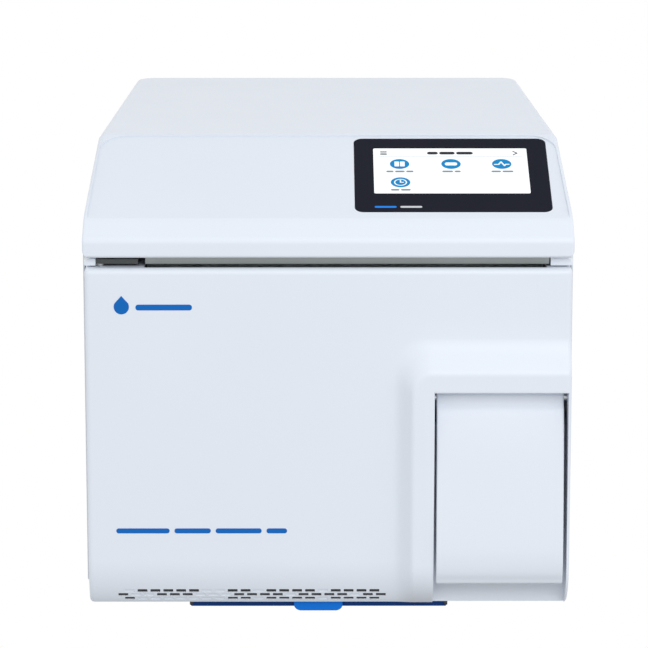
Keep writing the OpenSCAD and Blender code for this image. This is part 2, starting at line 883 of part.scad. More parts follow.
// Vent slots: three staggered rows across the lower curve of the door
module vent_slots() {
    rows = [37.5, 44, 51.2];
    x0 = -174;
    slot_h = 2.2;
    depth = 8;
    for (k = [0:2]) {
        shift = k == 1 ? 0 : 0.5;
        count = k == 1 ? 21 : 20;
        for (i = [0:count - 1])
            translate([x0 + (i + shift) * vent_pitch, curve_y - curve_d * cos(rows[k]),
                       curve_z - door_curve_r * sin(rows[k])])
                rotate([atan2(sin(rows[k]) / door_curve_r, cos(rows[k]) / curve_d), 0, 0])
                    translate([0, -2, -slot_h / 2]) cube([vent_l, depth, slot_h]);
    }
}

module door_shell() {
    color("whitesmoke") difference() {
        union() {
            along_x(-door_half, door_half, door_profile(0, 0));
            bulge(0);
        }
        difference() {
            union() {
                along_x(-door_half + skin, door_half - skin, concat(door_profile(0, skin),
                    [[liner_y + 1, door_bottom + skin], [liner_y + 1, door_top - skin]]));
                bulge(skin);
            }
            intersection() {
                recess_space(skin);
                span([0, -300, 0], [door_half, -218, 220]);
            }
        }
        recess_space(0);
        span([recess_x0, recess_y - 1, recess_gap_z], [recess_x1, liner_y + 1, recess_top]);
        span([-210, -243.8, notch_low_z], [notch_x, -190, notch_z]);
        rod_z(hinge_x, hinge_y, 260, door_top + 1, hinge_r + 0.5);
        rod_x(handle_y, handle_z, recess_x0 - 6, door_half - 1, handle_pin_r);
        span([trough_x[0], front_y + rim_w, trough_z], [trough_x[1], liner_y + 1, door_top + 1]);
        vent_slots();
    }
}

module door_liner() {
    half = door_half - skin - 0.3;
    block_x1 = notch_x;
    pan_r = flange_r + 4;
    color([0.35, 0.36, 0.38]) difference() {
        union() {
            span([-door_half, liner_y, door_bottom + 4], [door_half, door_back_y, door_top - 4]);
            span([-half, -243, notch_z + 0.2], [block_x1, liner_y + eps, notch_z + 24]);
            span([-half, -243, 268], [block_x1, liner_y + eps, door_top - skin - 0.3]);
            for (x = [latch_x - 3.3, latch_x + latch_t + 0.3])
                span([x, latch_y - 5, latch_z - 5], [x + 3, liner_y + eps, latch_z + 5]);
        }
        rod_y(chamber_x, chamber_z, liner_y - 1, door_back_y + 1, pan_r);
        span([-210, -243.8, 0], [notch_x, -190, notch_z]);
        rod_z(hinge_x, hinge_y, notch_z - 1, door_top, hinge_r + run);
        rod_y(lock_x, lock_z, liner_y - 1, door_back_y + 1, spindle_r);
        span([latch_x - 1, liner_y - 1, latch_z - 12], [latch_x + latch_t + 1, door_back_y + 1, latch_z + 14]);
        rod_x(latch_y, latch_z, latch_x - 8, latch_x + 14, 2);
        span([trough_x[0], liner_y - 1, trough_z], [trough_x[1], door_back_y + 1, door_top + 1]);
    }
}

module closure_plate() {
    color("silver") {
        rod_y(chamber_x, chamber_z, -211, -199.3, 99);
        rod_y(chamber_x, chamber_z, -217, -211 + eps, 70);
        rod_y(chamber_x, chamber_z, front_y + skin + 0.3, -217 + eps, 24);
        for (a = [45:90:315]) translate([chamber_x, 0, chamber_z]) rotate([0, a, 0])
            span([60, -210, -7], [flange_r + 9, -203, 7]);
        for (a = [45:90:315]) translate([chamber_x, 0, chamber_z]) rotate([0, a, 0])
            span([flange_r + 5, -210, -7], [flange_r + 14, liner_y, 7]);
    }
}

module door_seal() {
    color([0.75, 0.3, 0.2]) ring_y(chamber_x, chamber_z, -199.3, flange_front_y - 0.3, 88, 97);
}

module lock_spindle() {
    color("silver") {
        rod_y(lock_x, lock_z, -212, liner_y, 13);
        rod_y(lock_x, lock_z, liner_y - eps, -182, spindle_r);
        translate([lock_x, -182 - eps, lock_z]) rotate([-90, 0, 0]) cylinder(h = 4, r1 = spindle_r, r2 = 4);
    }
}

// Side outline of the handle plate: round about its pivot at the top, then
// leaning forward to the lower edge
handle_profile = concat(
    arc(handle_y, handle_z, handle_r, 0, 165, 12),
    [[-259, 172], [-264, 138], [-268, 93], [-270, 63], [-269, 49], [-266, 41], [-261, handle_low],
     [-257.5, 40], [-260, 51], [-261, 63], [-259.5, 93], [-256, 136], [-251.5, 168], [-245, 182]]);

module door_handle() {
    color("whitesmoke") difference() {
        along_x(handle_x0, handle_x0 + handle_w, handle_profile);
        rod_x(handle_y, handle_z, handle_x0 - 1, handle_x0 + handle_w + 1, handle_pin_r + run);
        span([spring_x0, handle_y - 5.2, handle_z - 8], [spring_x0 + spring_l, handle_y + 8, handle_z + 5]);
    }
}

module handle_pin() {
    color("silver") rod_x(handle_y, handle_z, recess_x0 - 6, door_half - 1, handle_pin_r);
}

// The closed outer form of the handle's return spring, round the pin
module handle_spring() {
    color("dimgray") difference() {
        rod_x(handle_y, handle_z, spring_x0 + 1, spring_x0 + spring_l - 1, handle_pin_r + 1.5);
        rod_x(handle_y, handle_z, spring_x0, spring_x0 + spring_l, handle_pin_r);
    }
}

module latch_hook() {
    tip_y = -182;
    color("gray") difference() {
        union() {
            rod_x(latch_y, latch_z, latch_x, latch_x + latch_t, 5);
            along_x(latch_x, latch_x + latch_t, [
                [latch_y, latch_z + 4], [tip_y - 4, latch_z + 4], [tip_y, latch_z],
                [tip_y, latch_z - 6], [tip_y - 6, latch_z - 3], [latch_y, latch_z - 4]]);
        }
        rod_x(latch_y, latch_z, latch_x - 1, latch_x + latch_t + 1, 2 + run);
    }
}

module fasteners() {
    color("silver") {
        for (x = screw_x, z = screw_z) {
            rod_y(x, z, rear_y - 8, rear_y + eps, screw_r);
            rod_y(x, z, rear_y, rear_y + 2, 3.6);
        }
        rod_x(latch_y, latch_z, latch_x - 4, latch_x + latch_t + 4, 2);
    }
}

base_chassis();
feet();
side_panel_left();
side_panel_right();
rear_panel();
front_frame();
display_hood();
top_lid();
lid_hinge_pins();
display_glass();
display_screen();
status_light_bars();
display_board();
chamber();
chamber_flange();
insulation_jacket();
heater_bands();
chamber_brackets();
chamber_rack();
tray_1();
tray_2();
tray_3();
feed_tank();
waste_tank();
tank_caps();
steam_generator();
vacuum_pump();
feed_pump();
valve_block();
solenoid_valves();
condenser();
fan_frame();
fan_rotor();
power_supply();
control_board();
mains_inlet();
mains_switch();
switch_rocker();
safety_valve();
air_filter();
pipework();
drain_couplings();
lock_nut();
lock_motor();
lock_pinion();
hinge_brackets();
hinge_pins();
filter_rails();
dust_filter_frame();
dust_filter_mat();
door_shell();
door_liner();
closure_plate();
door_seal();
lock_spindle();
door_handle();
handle_pin();
handle_spring();
latch_hook();
fasteners();
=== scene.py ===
"""Looks of the benchtop autoclave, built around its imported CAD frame.

Lengths in this script are millimetres until they reach a mesh; MM turns them into
the frame's metres. X is right, Y is to the rear, Z is up.
"""
import json
import math

import bmesh
import bpy
import numpy as np
from mathutils import Matrix, Vector


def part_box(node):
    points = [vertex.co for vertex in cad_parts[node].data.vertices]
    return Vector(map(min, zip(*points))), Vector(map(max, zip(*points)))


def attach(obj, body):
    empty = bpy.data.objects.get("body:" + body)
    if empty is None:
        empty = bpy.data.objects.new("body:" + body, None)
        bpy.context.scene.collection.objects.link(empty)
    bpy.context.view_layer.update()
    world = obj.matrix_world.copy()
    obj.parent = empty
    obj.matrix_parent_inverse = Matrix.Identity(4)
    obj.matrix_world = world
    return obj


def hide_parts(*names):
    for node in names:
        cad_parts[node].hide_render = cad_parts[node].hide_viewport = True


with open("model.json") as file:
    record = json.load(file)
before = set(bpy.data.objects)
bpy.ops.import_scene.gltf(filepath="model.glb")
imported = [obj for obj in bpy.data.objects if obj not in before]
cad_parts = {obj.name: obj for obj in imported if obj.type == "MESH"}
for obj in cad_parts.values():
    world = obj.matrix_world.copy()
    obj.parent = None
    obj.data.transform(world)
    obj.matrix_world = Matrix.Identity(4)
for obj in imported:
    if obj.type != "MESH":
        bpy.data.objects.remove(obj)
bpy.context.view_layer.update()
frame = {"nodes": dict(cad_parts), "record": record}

MM = 0.001
scene = bpy.context.scene


def box_mm(node):
    """A CAD node's lowest and highest corners, in millimetres."""
    low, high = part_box(node)
    return low / MM, high / MM


# ---- the frame's main planes, in millimetres ----

DOOR_LOW, DOOR_HIGH = box_mm("door_shell")
HOOD_LOW, HOOD_HIGH = box_mm("display_hood")
LID_LOW, LID_HIGH = box_mm("top_lid")
HANDLE_LOW, HANDLE_HIGH = box_mm("door_handle")
FILTER_LOW, FILTER_HIGH = box_mm("dust_filter_frame")

FRONT_Y = HOOD_LOW.y
CREASE_Y = HOOD_HIGH.y
TOP_Z = HOOD_HIGH.z
HOOD_HALF = HOOD_HIGH.x
TAPER = math.tan(math.radians(2.2))
FASCIA_TILT = math.radians(21)
BULGE_H = FRONT_Y - DOOR_LOW.y
SKIN = 3.0
# The door's lower front follows an oval: its half height, its half depth, then its centre
CURVE_R = 45.0
CURVE_D = 24.0
CURVE_Y = FRONT_Y + CURVE_D
CURVE_Z = 52.0


# ---- mesh helpers ----


def add_object(name, verts, faces):
    """A mesh object from points in millimetres."""
    mesh = bpy.data.meshes.new(name)
    mesh.from_pydata([tuple(c * MM for c in v) for v in verts], [], faces)
    mesh.update()
    obj = bpy.data.objects.new(name, mesh)
    scene.collection.objects.link(obj)
    return obj


def bake(obj):
    """Applies every modifier on obj."""
    graph = bpy.context.evaluated_depsgraph_get()
    old = obj.data
    name = old.name
    obj.data = bpy.data.meshes.new_from_object(obj.evaluated_get(graph))
    obj.modifiers.clear()
    bpy.data.meshes.remove(old)
    obj.data.name = name
    return obj


def combine(obj, tool, operation="DIFFERENCE"):
    """Cuts tool from obj, or joins it on, and removes tool."""
    mod = obj.modifiers.new("cut", "BOOLEAN")
    mod.operation = operation
    mod.solver = "EXACT"
    mod.object = tool
    bake(obj)
    bpy.data.objects.remove(tool)
    return obj


def outward(obj):
    """Turns every face of a closed mesh to point out."""
    bm = bmesh.new()
    bm.from_mesh(obj.data)
    bmesh.ops.recalc_face_normals(bm, faces=bm.faces)
    bm.to_mesh(obj.data)
    bm.free()
    return obj


def smooth(obj, degrees=35):
    """Smooth shading that breaks at edges sharper than the angle and keeps flats flat."""
    mesh = obj.data
    mesh.shade_smooth()
    mesh.set_sharp_from_angle(angle=math.radians(degrees))
    mod = obj.modifiers.new("even", "WEIGHTED_NORMAL")
    mod.keep_sharp = True
    mod.weight = 90
    return bake(obj)


def clean(obj, gap=0.01, flat_degrees=0.5):
    """Merges doubled points and takes out edges that lie in a flat face."""
    bm = bmesh.new()
    bm.from_mesh(obj.data)
    bmesh.ops.remove_doubles(bm, verts=bm.verts, dist=gap * MM)
    if flat_degrees:
        bmesh.ops.dissolve_limit(
            bm, angle_limit=math.radians(flat_degrees), verts=bm.verts, edges=bm.edges
        )
    bm.to_mesh(obj.data)
    bm.free()
    return obj


def round_edges(obj, width, segments=3, degrees=30):
    """Rounds the edges that are sharper than the angle."""
    mod = obj.modifiers.new("round", "BEVEL")
    mod.width = width * MM
    mod.segments = segments
    mod.limit_method = "ANGLE"
    mod.angle_limit = math.radians(degrees)
    mod.use_clamp_overlap = True
    mod.harden_normals = False
    return bake(obj)


def loft(name, rings):
    """A closed solid through rings of equally many points, capped at both ends."""
    count = len(rings[0])
    verts = [p for ring in rings for p in ring]
    faces = [list(range(count))[::-1]]
    for i in range(len(rings) - 1):
        a = i * count
        for j in range(count):
            k = (j + 1) % count
            faces.append((a + j, a + k, a + count + k, a + count + j))
    last = (len(rings) - 1) * count
    faces.append([last + j for j in range(count)])
    return outward(add_object(name, verts, faces))


def prism(name, outline, place, low, high):
    """A plate: a 2-D outline, put in space by place(u, v, height)."""
    return loft(name, [[place(u, v, h) for u, v in outline] for h in (low, high)])


def arc(cu, cv, radius, start, end, steps=8):
    """Points on an arc, angles in degrees."""
    angles = [math.radians(start + (end - start) * i / steps) for i in range(steps + 1)]
    return [(cu + radius * math.cos(a), cv + radius * math.sin(a)) for a in angles]


def round_rect(u0, v0, u1, v1, radius, steps=8):
    """Outline of a rectangle with round corners."""
    r = min(radius, (u1 - u0) / 2 - 1e-4, (v1 - v0) / 2 - 1e-4)
    return (
        arc(u1 - r, v0 + r, r, -90, 0, steps)
        + arc(u1 - r, v1 - r, r, 0, 90, steps)
        + arc(u0 + r, v1 - r, r, 90, 180, steps)
        + arc(u0 + r, v0 + r, r, 180, 270, steps)
    )


def box(name, low, high):
    """A plain block, for cutting or for rounding later."""
    xs, ys, zs = zip(low, high)
    ring = [(xs[0], ys[0]), (xs[1], ys[0]), (xs[1], ys[1]), (xs[0], ys[1])]
    return loft(name, [[(x, y, z) for x, y in ring] for z in zs])


def rod(name, start, end, radius, steps=32, end_radius=None):
    """A round bar between two points."""
    a, b = Vector(start), Vector(end)
    axis = (b - a).normalized()
    side = axis.orthogonal().normalized()
    up = axis.cross(side)
    rings = []
    for centre, r in ((a, radius), (b, end_radius or radius)):
        ring = []
        for i in range(steps):
            t = 2 * math.pi * i / steps
            ring.append(tuple(centre + side * (r * math.cos(t)) + up * (r * math.sin(t))))
        rings.append(ring)
    return loft(name, rings)


def spun(name, profile, place, steps=96):
    """A closed (radius, height) outline turned about an axis; place(u, v, height)."""
    verts, faces = [], []
    count = len(profile)
    for i in range(steps):
        t = 2 * math.pi * i / steps
        verts += [place(r * math.cos(t), r * math.sin(t), h) for r, h in profile]
    for i in range(steps):
        a, b = i * count, ((i + 1) % steps) * count
        for j in range(count):
            k = (j + 1) % count
            faces.append((a + j, b + j, b + k, a + k))
    obj = add_object(name, verts, faces)
    return outward(clean(obj, 0.002, 0))


def joined(name, objects):
    """One object from several meshes."""
    bm = bmesh.new()
    for obj in objects:
        bm.from_mesh(obj.data)
        bpy.data.objects.remove(obj)
    mesh = bpy.data.meshes.new(name)
    bm.to_mesh(mesh)
    bm.free()
    obj = bpy.data.objects.new(name, mesh)
    scene.collection.objects.link(obj)
    return obj


def finish_piece(obj, body, material, replaced=()):
    """Gives a piece its body and material, and hides the CAD nodes it replaces."""
    obj.data.materials.clear()
    obj.data.materials.append(material)
    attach(obj, body)
    if replaced:
        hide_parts(*replaced)
    return obj


# ---- materials ----


class Nodes:
    """Short calls for building one material's node tree."""

    def __init__(self, name):
        self.material = bpy.data.materials.new(name)
        self.material.use_nodes = True
        self.tree = self.material.node_tree
        self.shader = self.tree.nodes["Principled BSDF"]
        self.coords = self.add("ShaderNodeTexCoord").outputs["Object"]

    def add(self, kind, inputs=(), **settings):
        """A node whose inputs are sockets to link or constants to set."""
        node = self.tree.nodes.new(kind)
        for key, value in settings.items():
            setattr(node, key, value)
        for key, value in dict(inputs).items():
            if isinstance(value, bpy.types.NodeSocket):
                self.tree.links.new(value, node.inputs[key])
            else:
                node.inputs[key].default_value = value
        return node

    def link(self, source, socket):
        """Feeds the shader's socket from source."""
        self.tree.links.new(source, self.shader.inputs[socket])

    def set(self, **values):
        """Sets constants on the shader; an underscore stands for a space."""
        for key, value in values.items():
            self.shader.inputs[key.replace("_", " ")].default_value = value

    def stretched(self, scale):
        """Object coordinates scaled by a factor on each axis."""
        return self.add("ShaderNodeMapping", {"Vector": self.coords, "Scale": scale}).outputs[0]

    def noise(self, scale, detail=2.0, vector=None, roughness=0.5):
        """Noise from 0 to 1, in the object's own coordinates."""
        inputs = {"Vector": vector or self.coords, "Scale": scale, "Detail": detail,
                  "Roughness": roughness}
        return self.add("ShaderNodeTexNoise", inputs).outputs["Fac"]

    def between(self, fac, low, high):
        """Maps a 0-1 factor onto a range of numbers."""
        return self.add(
            "ShaderNodeMapRange", {"Value": fac, "To Min": low, "To Max": high}
        ).outputs["Result"]

    def colours(self, fac, stops):
        """A colour ramp through (position, colour) stops."""
        ramp = self.add("ShaderNodeValToRGB", {"Fac": fac})
        while len(ramp.color_ramp.elements) < len(stops):
            ramp.color_ramp.elements.new(0.5)
        for element, (position, colour) in zip(ramp.color_ramp.elements, stops):
            element.position = position
            element.color = (*colour, 1.0)
        return ramp.outputs["Color"]

    def bump(self, height, strength, distance):
        """Surface relief, its height in millimetres."""
        bump = self.add(
            "ShaderNodeBump",
            {"Height": height, "Strength": strength, "Distance": distance * MM},
        )
        self.link(bump.outputs["Normal"], "Normal")


def shade(colour, factor):
    """A colour made darker or lighter."""
    return tuple(min(1.0, c * factor) for c in colour)


def moulded(name, colour, rough=0.4, spread=0.02, grain=0.35, strength=0.12, scale=700, **more):
    """Moulded or painted surface: faint mottling, fine texture, uneven gloss."""
    n = Nodes(name)
    mottle = n.noise(9.0, 3.0)
    n.link(n.colours(mottle, [(0.3, shade(colour, 1 - spread)), (0.7, shade(colour, 1 + spread))]),
           "Base Color")
    n.link(n.between(n.noise(28.0, 4.0), rough - 0.05, rough + 0.05), "Roughness")
    n.bump(n.noise(scale, 2.0), strength, grain)
    n.set(**more)
    return n.material


def brushed(name, colour, rough, along, scale=1.0):
    """Metal with fine lines along one axis."""
    n = Nodes(name)
    squeeze = [900.0 * scale] * 3
    squeeze["XYZ".index(along)] = 14.0 * scale
    lines = n.noise(1.0, 5.0, n.stretched(tuple(squeeze)), 0.65)
    broad = n.noise(16.0, 3.0)
    n.link(n.colours(lines, [(0.25, shade(colour, 0.86)), (0.75, shade(colour, 1.1))]), "Base Color")
    mixed = n.add("ShaderNodeMath", {0: lines, 1: broad}, operation="MULTIPLY").outputs[0]
    n.link(n.between(mixed, rough - 0.08, rough + 0.22), "Roughness")
    n.bump(lines, 0.12, 0.05)
    n.set(Metallic=1.0)
    return n.material


def cast_metal(name, colour, rough, metallic=1.0):
    """Plated or cast metal with a fine pitted surface and faint clouding."""
    n = Nodes(name)
    cloud = n.noise(40.0, 5.0, roughness=0.7)
    n.link(n.colours(cloud, [(0.25, shade(colour, 0.82)), (0.75, shade(colour, 1.08))]), "Base Color")
    n.link(n.between(n.noise(120.0, 3.0), rough - 0.08, rough + 0.12), "Roughness")
    n.bump(n.noise(1500.0, 2.0), 0.15, 0.08)
    n.set(Metallic=metallic)
    return n.material


def felt(name, colour):
    """Matted fibres, as on an insulation jacket or a filter mat."""
    n = Nodes(name)
    fibres = n.noise(420.0, 8.0, roughness=0.8)
    n.link(n.colours(fibres, [(0.3, shade(colour, 0.6)), (0.7, shade(colour, 1.35))]), "Base Color")
    n.bump(fibres, 0.7, 0.9)
    n.set(Roughness=0.95)
    return n.material


def circuit(name):
    """Green board with a pattern of lighter tracks."""
    n = Nodes(name)
    cells = n.add(
        "ShaderNodeTexVoronoi",
        {"Vector": n.coords, "Scale": 260.0},
        feature="DISTANCE_TO_EDGE",
    ).outputs["Distance"]
    green = (0.01, 0.12, 0.045)
    n.link(n.colours(cells, [(0.03, shade(green, 2.6)), (0.09, green)]), "Base Color")
    n.bump(cells, 0.25, 0.1)
    n.set(Roughness=0.35)
    return n.material


def lit(name, colour, strength):
    """A lamp or a lit panel, a touch uneven as a real backlight is."""
    n = Nodes(name)
    haze = n.noise(14.0, 2.0)
    glow = n.colours(haze, [(0.2, shade(colour, 0.985)), (0.8, colour)])
    n.link(glow, "Emission Color")
    n.link(n.colours(haze, [(0.2, shade(colour, 0.1)), (0.8, shade(colour, 0.11))]), "Base Color")
    n.set(Emission_Strength=strength, Roughness=0.5, Specular_IOR_Level=0.05)
    return n.material


WHITE = (0.70, 0.75, 0.825)
SHELL = moulded("shell_white", WHITE, 0.42, 0.006, 0.25, 0.06, 900)
PAINT = moulded("painted_sheet", (0.66, 0.70, 0.765), 0.36, 0.008, 0.4, 0.12, 520)
FRAME_WHITE = moulded("frame_sheet", (0.80, 0.845, 0.87), 0.4, 0.01, 0.4, 0.12, 520)
DARK = moulded("dark_plastic", (0.028, 0.030, 0.034), 0.5, 0.12, 0.3, 0.15, 800)
# Grey for the hood's turned-in edge: painted shade in the gap under the hood; the moulding itself is white
PAINTED_SHADE_GREY = moulded("turned_edge_painted_shade", (0.40, 0.43, 0.425), 0.5, 0.03, 0.3, 0.1, 600)
BRACKET = moulded("bracket_grey", (0.06, 0.066, 0.064), 0.45, 0.08, 0.3, 0.12, 700)
GREY = moulded("grey_plastic", (0.27, 0.285, 0.30), 0.48, 0.05, 0.35, 0.2, 650)
TANK = moulded("tank_plastic", (0.70, 0.75, 0.78), 0.3, 0.02, 0.5, 0.1, 300,
               Transmission_Weight=0.25, Subsurface_Weight=0.2, Subsurface_Radius=(0.01, 0.01, 0.01))
BLUE = moulded("blue_plastic", (0.0, 0.145, 0.60), 0.45, 0.05, 0.2, 0.08, 800,
               Specular_IOR_Level=0.15)
# The tab's blue, darkened: painted shade of the door falling on the filter tray
PAINTED_SHADE_BLUE = moulded("blue_plastic_painted_shade", (0.002, 0.035, 0.165), 0.5, 0.06, 0.2, 0.08, 800,
                    Specular_IOR_Level=0.12)
RED = moulded("red_plastic", (0.42, 0.02, 0.015), 0.28, 0.05, 0.15, 0.06, 900)
BEZEL = moulded("bezel_black", (0.0105, 0.0118, 0.021), 0.5, 0.05, 0.05, 0.02, 900,
                Specular_IOR_Level=0.03)
RUBBER = moulded("rubber", (0.022, 0.022, 0.023), 0.75, 0.15, 0.5, 0.3, 900)
SILICONE = moulded("silicone", (0.50, 0.085, 0.04), 0.5, 0.06, 0.3, 0.15, 600,
                   Subsurface_Weight=0.1)
HEATER = moulded("heater_mat", (0.42, 0.13, 0.03), 0.5, 0.1, 0.5, 0.4, 240)
STEEL = brushed("brushed_steel", (0.60, 0.61, 0.62), 0.26, "Y")
ZINC = cast_metal("zinc_plate", (0.50, 0.51, 0.52), 0.4)
ALUMINIUM = cast_metal("aluminium", (0.60, 0.61, 0.62), 0.38)
BRASS = cast_metal("brass", (0.62, 0.44, 0.17), 0.32)
FELT = felt("insulation_felt", (0.36, 0.355, 0.33))
MAT = felt("filter_foam", (0.03, 0.031, 0.034))
CIRCUIT = circuit("circuit_board")
SCREEN = lit("screen_lit", (0.95, 0.985, 1.0), 1.0)
BLUE_LIGHT = lit("status_blue", (0.015, 0.24, 0.85), 0.9)
WHITE_LIGHT = lit("status_white", (0.72, 0.75, 0.80), 0.75)
SCREEN_BLUE = lit("icon_blue", (0.008, 0.27, 0.62), 0.85)
SCREEN_DARK = lit("icon_dark", (0.05, 0.055, 0.07), 0.5)
SCREEN_GREY = lit("caption_grey", (0.30, 0.33, 0.38), 0.8)
MARK_BLUE = moulded("printed_blue", (0.002, 0.125, 0.46), 0.5, 0.03, 0.05, 0.03, 900,
                    Specular_IOR_Level=0.15)

# The look of each material slot where a CAD node shows as it is
SLOT_LOOK = {
    "white_paint": PAINT, "white_plastic": SHELL, "dark_plastic": DARK, "grey_plastic": GREY,
    "clear_tank": TANK, "blue_plastic": BLUE, "red_plastic": RED, "display_black": BEZEL,
    "display_lit": SCREEN, "steel": STEEL, "zinc": ZINC, "aluminium": ALUMINIUM,
    "brass": BRASS, "rubber": RUBBER, "silicone": SILICONE, "felt": FELT,
    "filter_mat": MAT, "heater": HEATER, "circuit": CIRCUIT,
}
NODE_SLOT = {s["node"]: s["material_slot"] for s in frame["record"]["subparts"]}
NODE_BODY = {n: body for body, names in frame["record"]["behaviour"]["bodies"].items() for n in names}


def dress_cad():
    """Every CAD node gets the look of its slot."""
    for name, obj in frame["nodes"].items():
        obj.data.materials.clear()
        obj.data.materials.append(SLOT_LOOK[NODE_SLOT[name]])


def refined(node, name, width, material=None, segments=2, degrees=32):
    """A copy of a CAD node with its edges rounded, which stands for the node."""
    obj = frame["nodes"][node].copy()
    obj.data = obj.data.copy()
    obj.name = obj.data.name = name
    for key in list(obj.keys()):
        del obj[key]
    obj.parent = None
    scene.collection.objects.link(obj)
    clean(obj, 0.004, 1.0)
    if width:
        round_edges(obj, width, segments, degrees)
    smooth(obj, 38)
    look = material or SLOT_LOOK[NODE_SLOT[node]]
    return finish_piece(obj, NODE_BODY[node], look, [node])


dress_cad()


# ---- door ----

DOOR_HALF = DOOR_HIGH.x
DOOR_TOP = DOOR_HIGH.z
DOOR_BOTTOM = DOOR_LOW.z
LINER_Y = -200.0
BULGE_FACE = (70.0, 212.0)
BULGE_SLOPE = (13.0, 23.0)
BULGE_CORNER = 15.0
RECESS_X = (86.8, 196.0)
RECESS_TOP = HANDLE_HIGH.z + 1.0
RECESS_BACK = [(-222.0, 110.0), (-232.0, 57.0), (-238.5, DOOR_BOTTOM - 1)]
RIM = 6.0
TROUGH = (-150.0, 178.0, 286.0)
HINGE_NOTCH = ((-210, -243.8, 29.5), (-176, -190, 38.3))
# Stretches of the door where its surface turns quickly and needs close rings
SLOPE_Z = (240, 188)
SLOPE_X = (48, 90)
VENT_X0, VENT_PITCH, VENT_L, VENT_H = -174.4, 10.7, 8.2, 3.2
# Angle down the curve, shift in pitches, and which slots are open (o) or only marked (-)
VENT_ROWS = (
    (37.5, 0.5, "-ooooo--oo-oooo-oooo"),
    (44.0, 0.0, "o--ooo---oooo-oooo-oo"),
    (51.2, 0.5, "o-------oo-oooo-oooo"),
)


def slope_table():
    """Height of the bulge's edge from its foot (0) to its face (1): a broad hollow
    at the foot, a straight slope, then a tight round onto the face."""
    t = np.linspace(0, 1, 201)
    rise = np.clip(t / 0.62, 0, 1)
    rise = rise * rise * (3 - 2 * rise)
    fall = np.clip((1 - t) / 0.13, 0, 1)
    height = np.cumsum(rise * np.sqrt(fall))
    return t, height / height[-1]


SLOPE_T, SLOPE_HEIGHT = slope_table()


def proud(x, z):
    """How far the door's surface stands in front of its main face."""
    across = max(0.0, BULGE_FACE[0] + BULGE_CORNER - x)
    above = max(0.0, z - (BULGE_FACE[1] - BULGE_CORNER))
    out = math.hypot(across, above)
    turn = math.sin(math.atan2(above, across)) if out else 0.0
    width = BULGE_SLOPE[0] + (BULGE_SLOPE[1] - BULGE_SLOPE[0]) * turn * turn
    away = (out - BULGE_CORNER) / (width * 1.5)
    return BULGE_H * float(np.interp(1 - away, SLOPE_T, SLOPE_HEIGHT))


def spaced(start, end, step):
    """Even steps from start up to, but not including, end."""
    count = max(1, round(abs(end - start) / step))
    return [start + (end - start) * i / count for i in range(count)]


def bulge_fade(down):
    """How much of the bulge is left, from the curve's top (0) to the door's lower edge (1)."""
    return 1 - 0.75 * down**3


def door_ring(x, inset, back_y, edge=5.0):
    """The door's outline at x, pulled in by inset."""
    heights = (
        spaced(DOOR_TOP - edge, SLOPE_Z[0], 9) + spaced(*SLOPE_Z, 1.6)
        + spaced(SLOPE_Z[1], CURVE_Z, 10) + [CURVE_Z]
    )
    ring = [(back_y, DOOR_TOP - inset)]
    ring += [
        (FRONT_Y + edge + u, DOOR_TOP - edge + v)
        for u, v in arc(0, 0, max(edge - inset, 0.3), 90, 180, 7)
    ]
    ring += [(FRONT_Y - proud(x, z) + inset, z) for z in heights[1:]]
    lift = proud(x, CURVE_Z)
    end = math.asin((CURVE_Z - DOOR_BOTTOM) / CURVE_R)
    for i in range(1, 25):
        a = end * i / 24
        fade = bulge_fade(i / 24)
        ring.append((CURVE_Y - (CURVE_D + lift * fade - inset) * math.cos(a),
                     CURVE_Z - (CURVE_R - inset) * math.sin(a)))
    ring.append((back_y, ring[-1][1]))
    return [(x, y, z) for y, z in ring]


def edge_steps(radius, steps=6):
    """(distance in from the side, inset) pairs that round a side edge."""
    angles = [math.radians(90 * i / steps) for i in range(steps + 1)]
    return [(radius * (1 - math.cos(a)), radius * (1 - math.sin(a))) for a in angles]


def door_body(name, inset, back_y, edge_r):
    """The door's outer form, or its inside when inset."""
    half = DOOR_HALF - inset
    sides = edge_steps(edge_r) if edge_r else [(0.0, 0.0)]
    middle = (
        spaced(-half + edge_r, SLOPE_X[0], 20)[1:] + spaced(*SLOPE_X, 1.4)
        + spaced(SLOPE_X[1], half - edge_r, 10)
    )
    rings = [door_ring(-half + d, inset + t, back_y) for d, t in sides]
    rings += [door_ring(x, inset, back_y) for x in middle]
    rings += [door_ring(half - d, inset + t, back_y) for d, t in reversed(sides)]
    return loft(name, rings)


def bulge_surface(z, depth):
    """Y of the proud panel's surface at height z, that deep under it."""
    if z >= CURVE_Z:
        return FRONT_Y - BULGE_H + depth
    a = math.asin(min((CURVE_Z - z) / (CURVE_R - depth), 1.0))
    end = math.asin((CURVE_Z - DOOR_BOTTOM) / CURVE_R)
    fade = bulge_fade(min(a / end, 1.0))
    return CURVE_Y - (CURVE_D + BULGE_H * fade - depth) * math.cos(a)


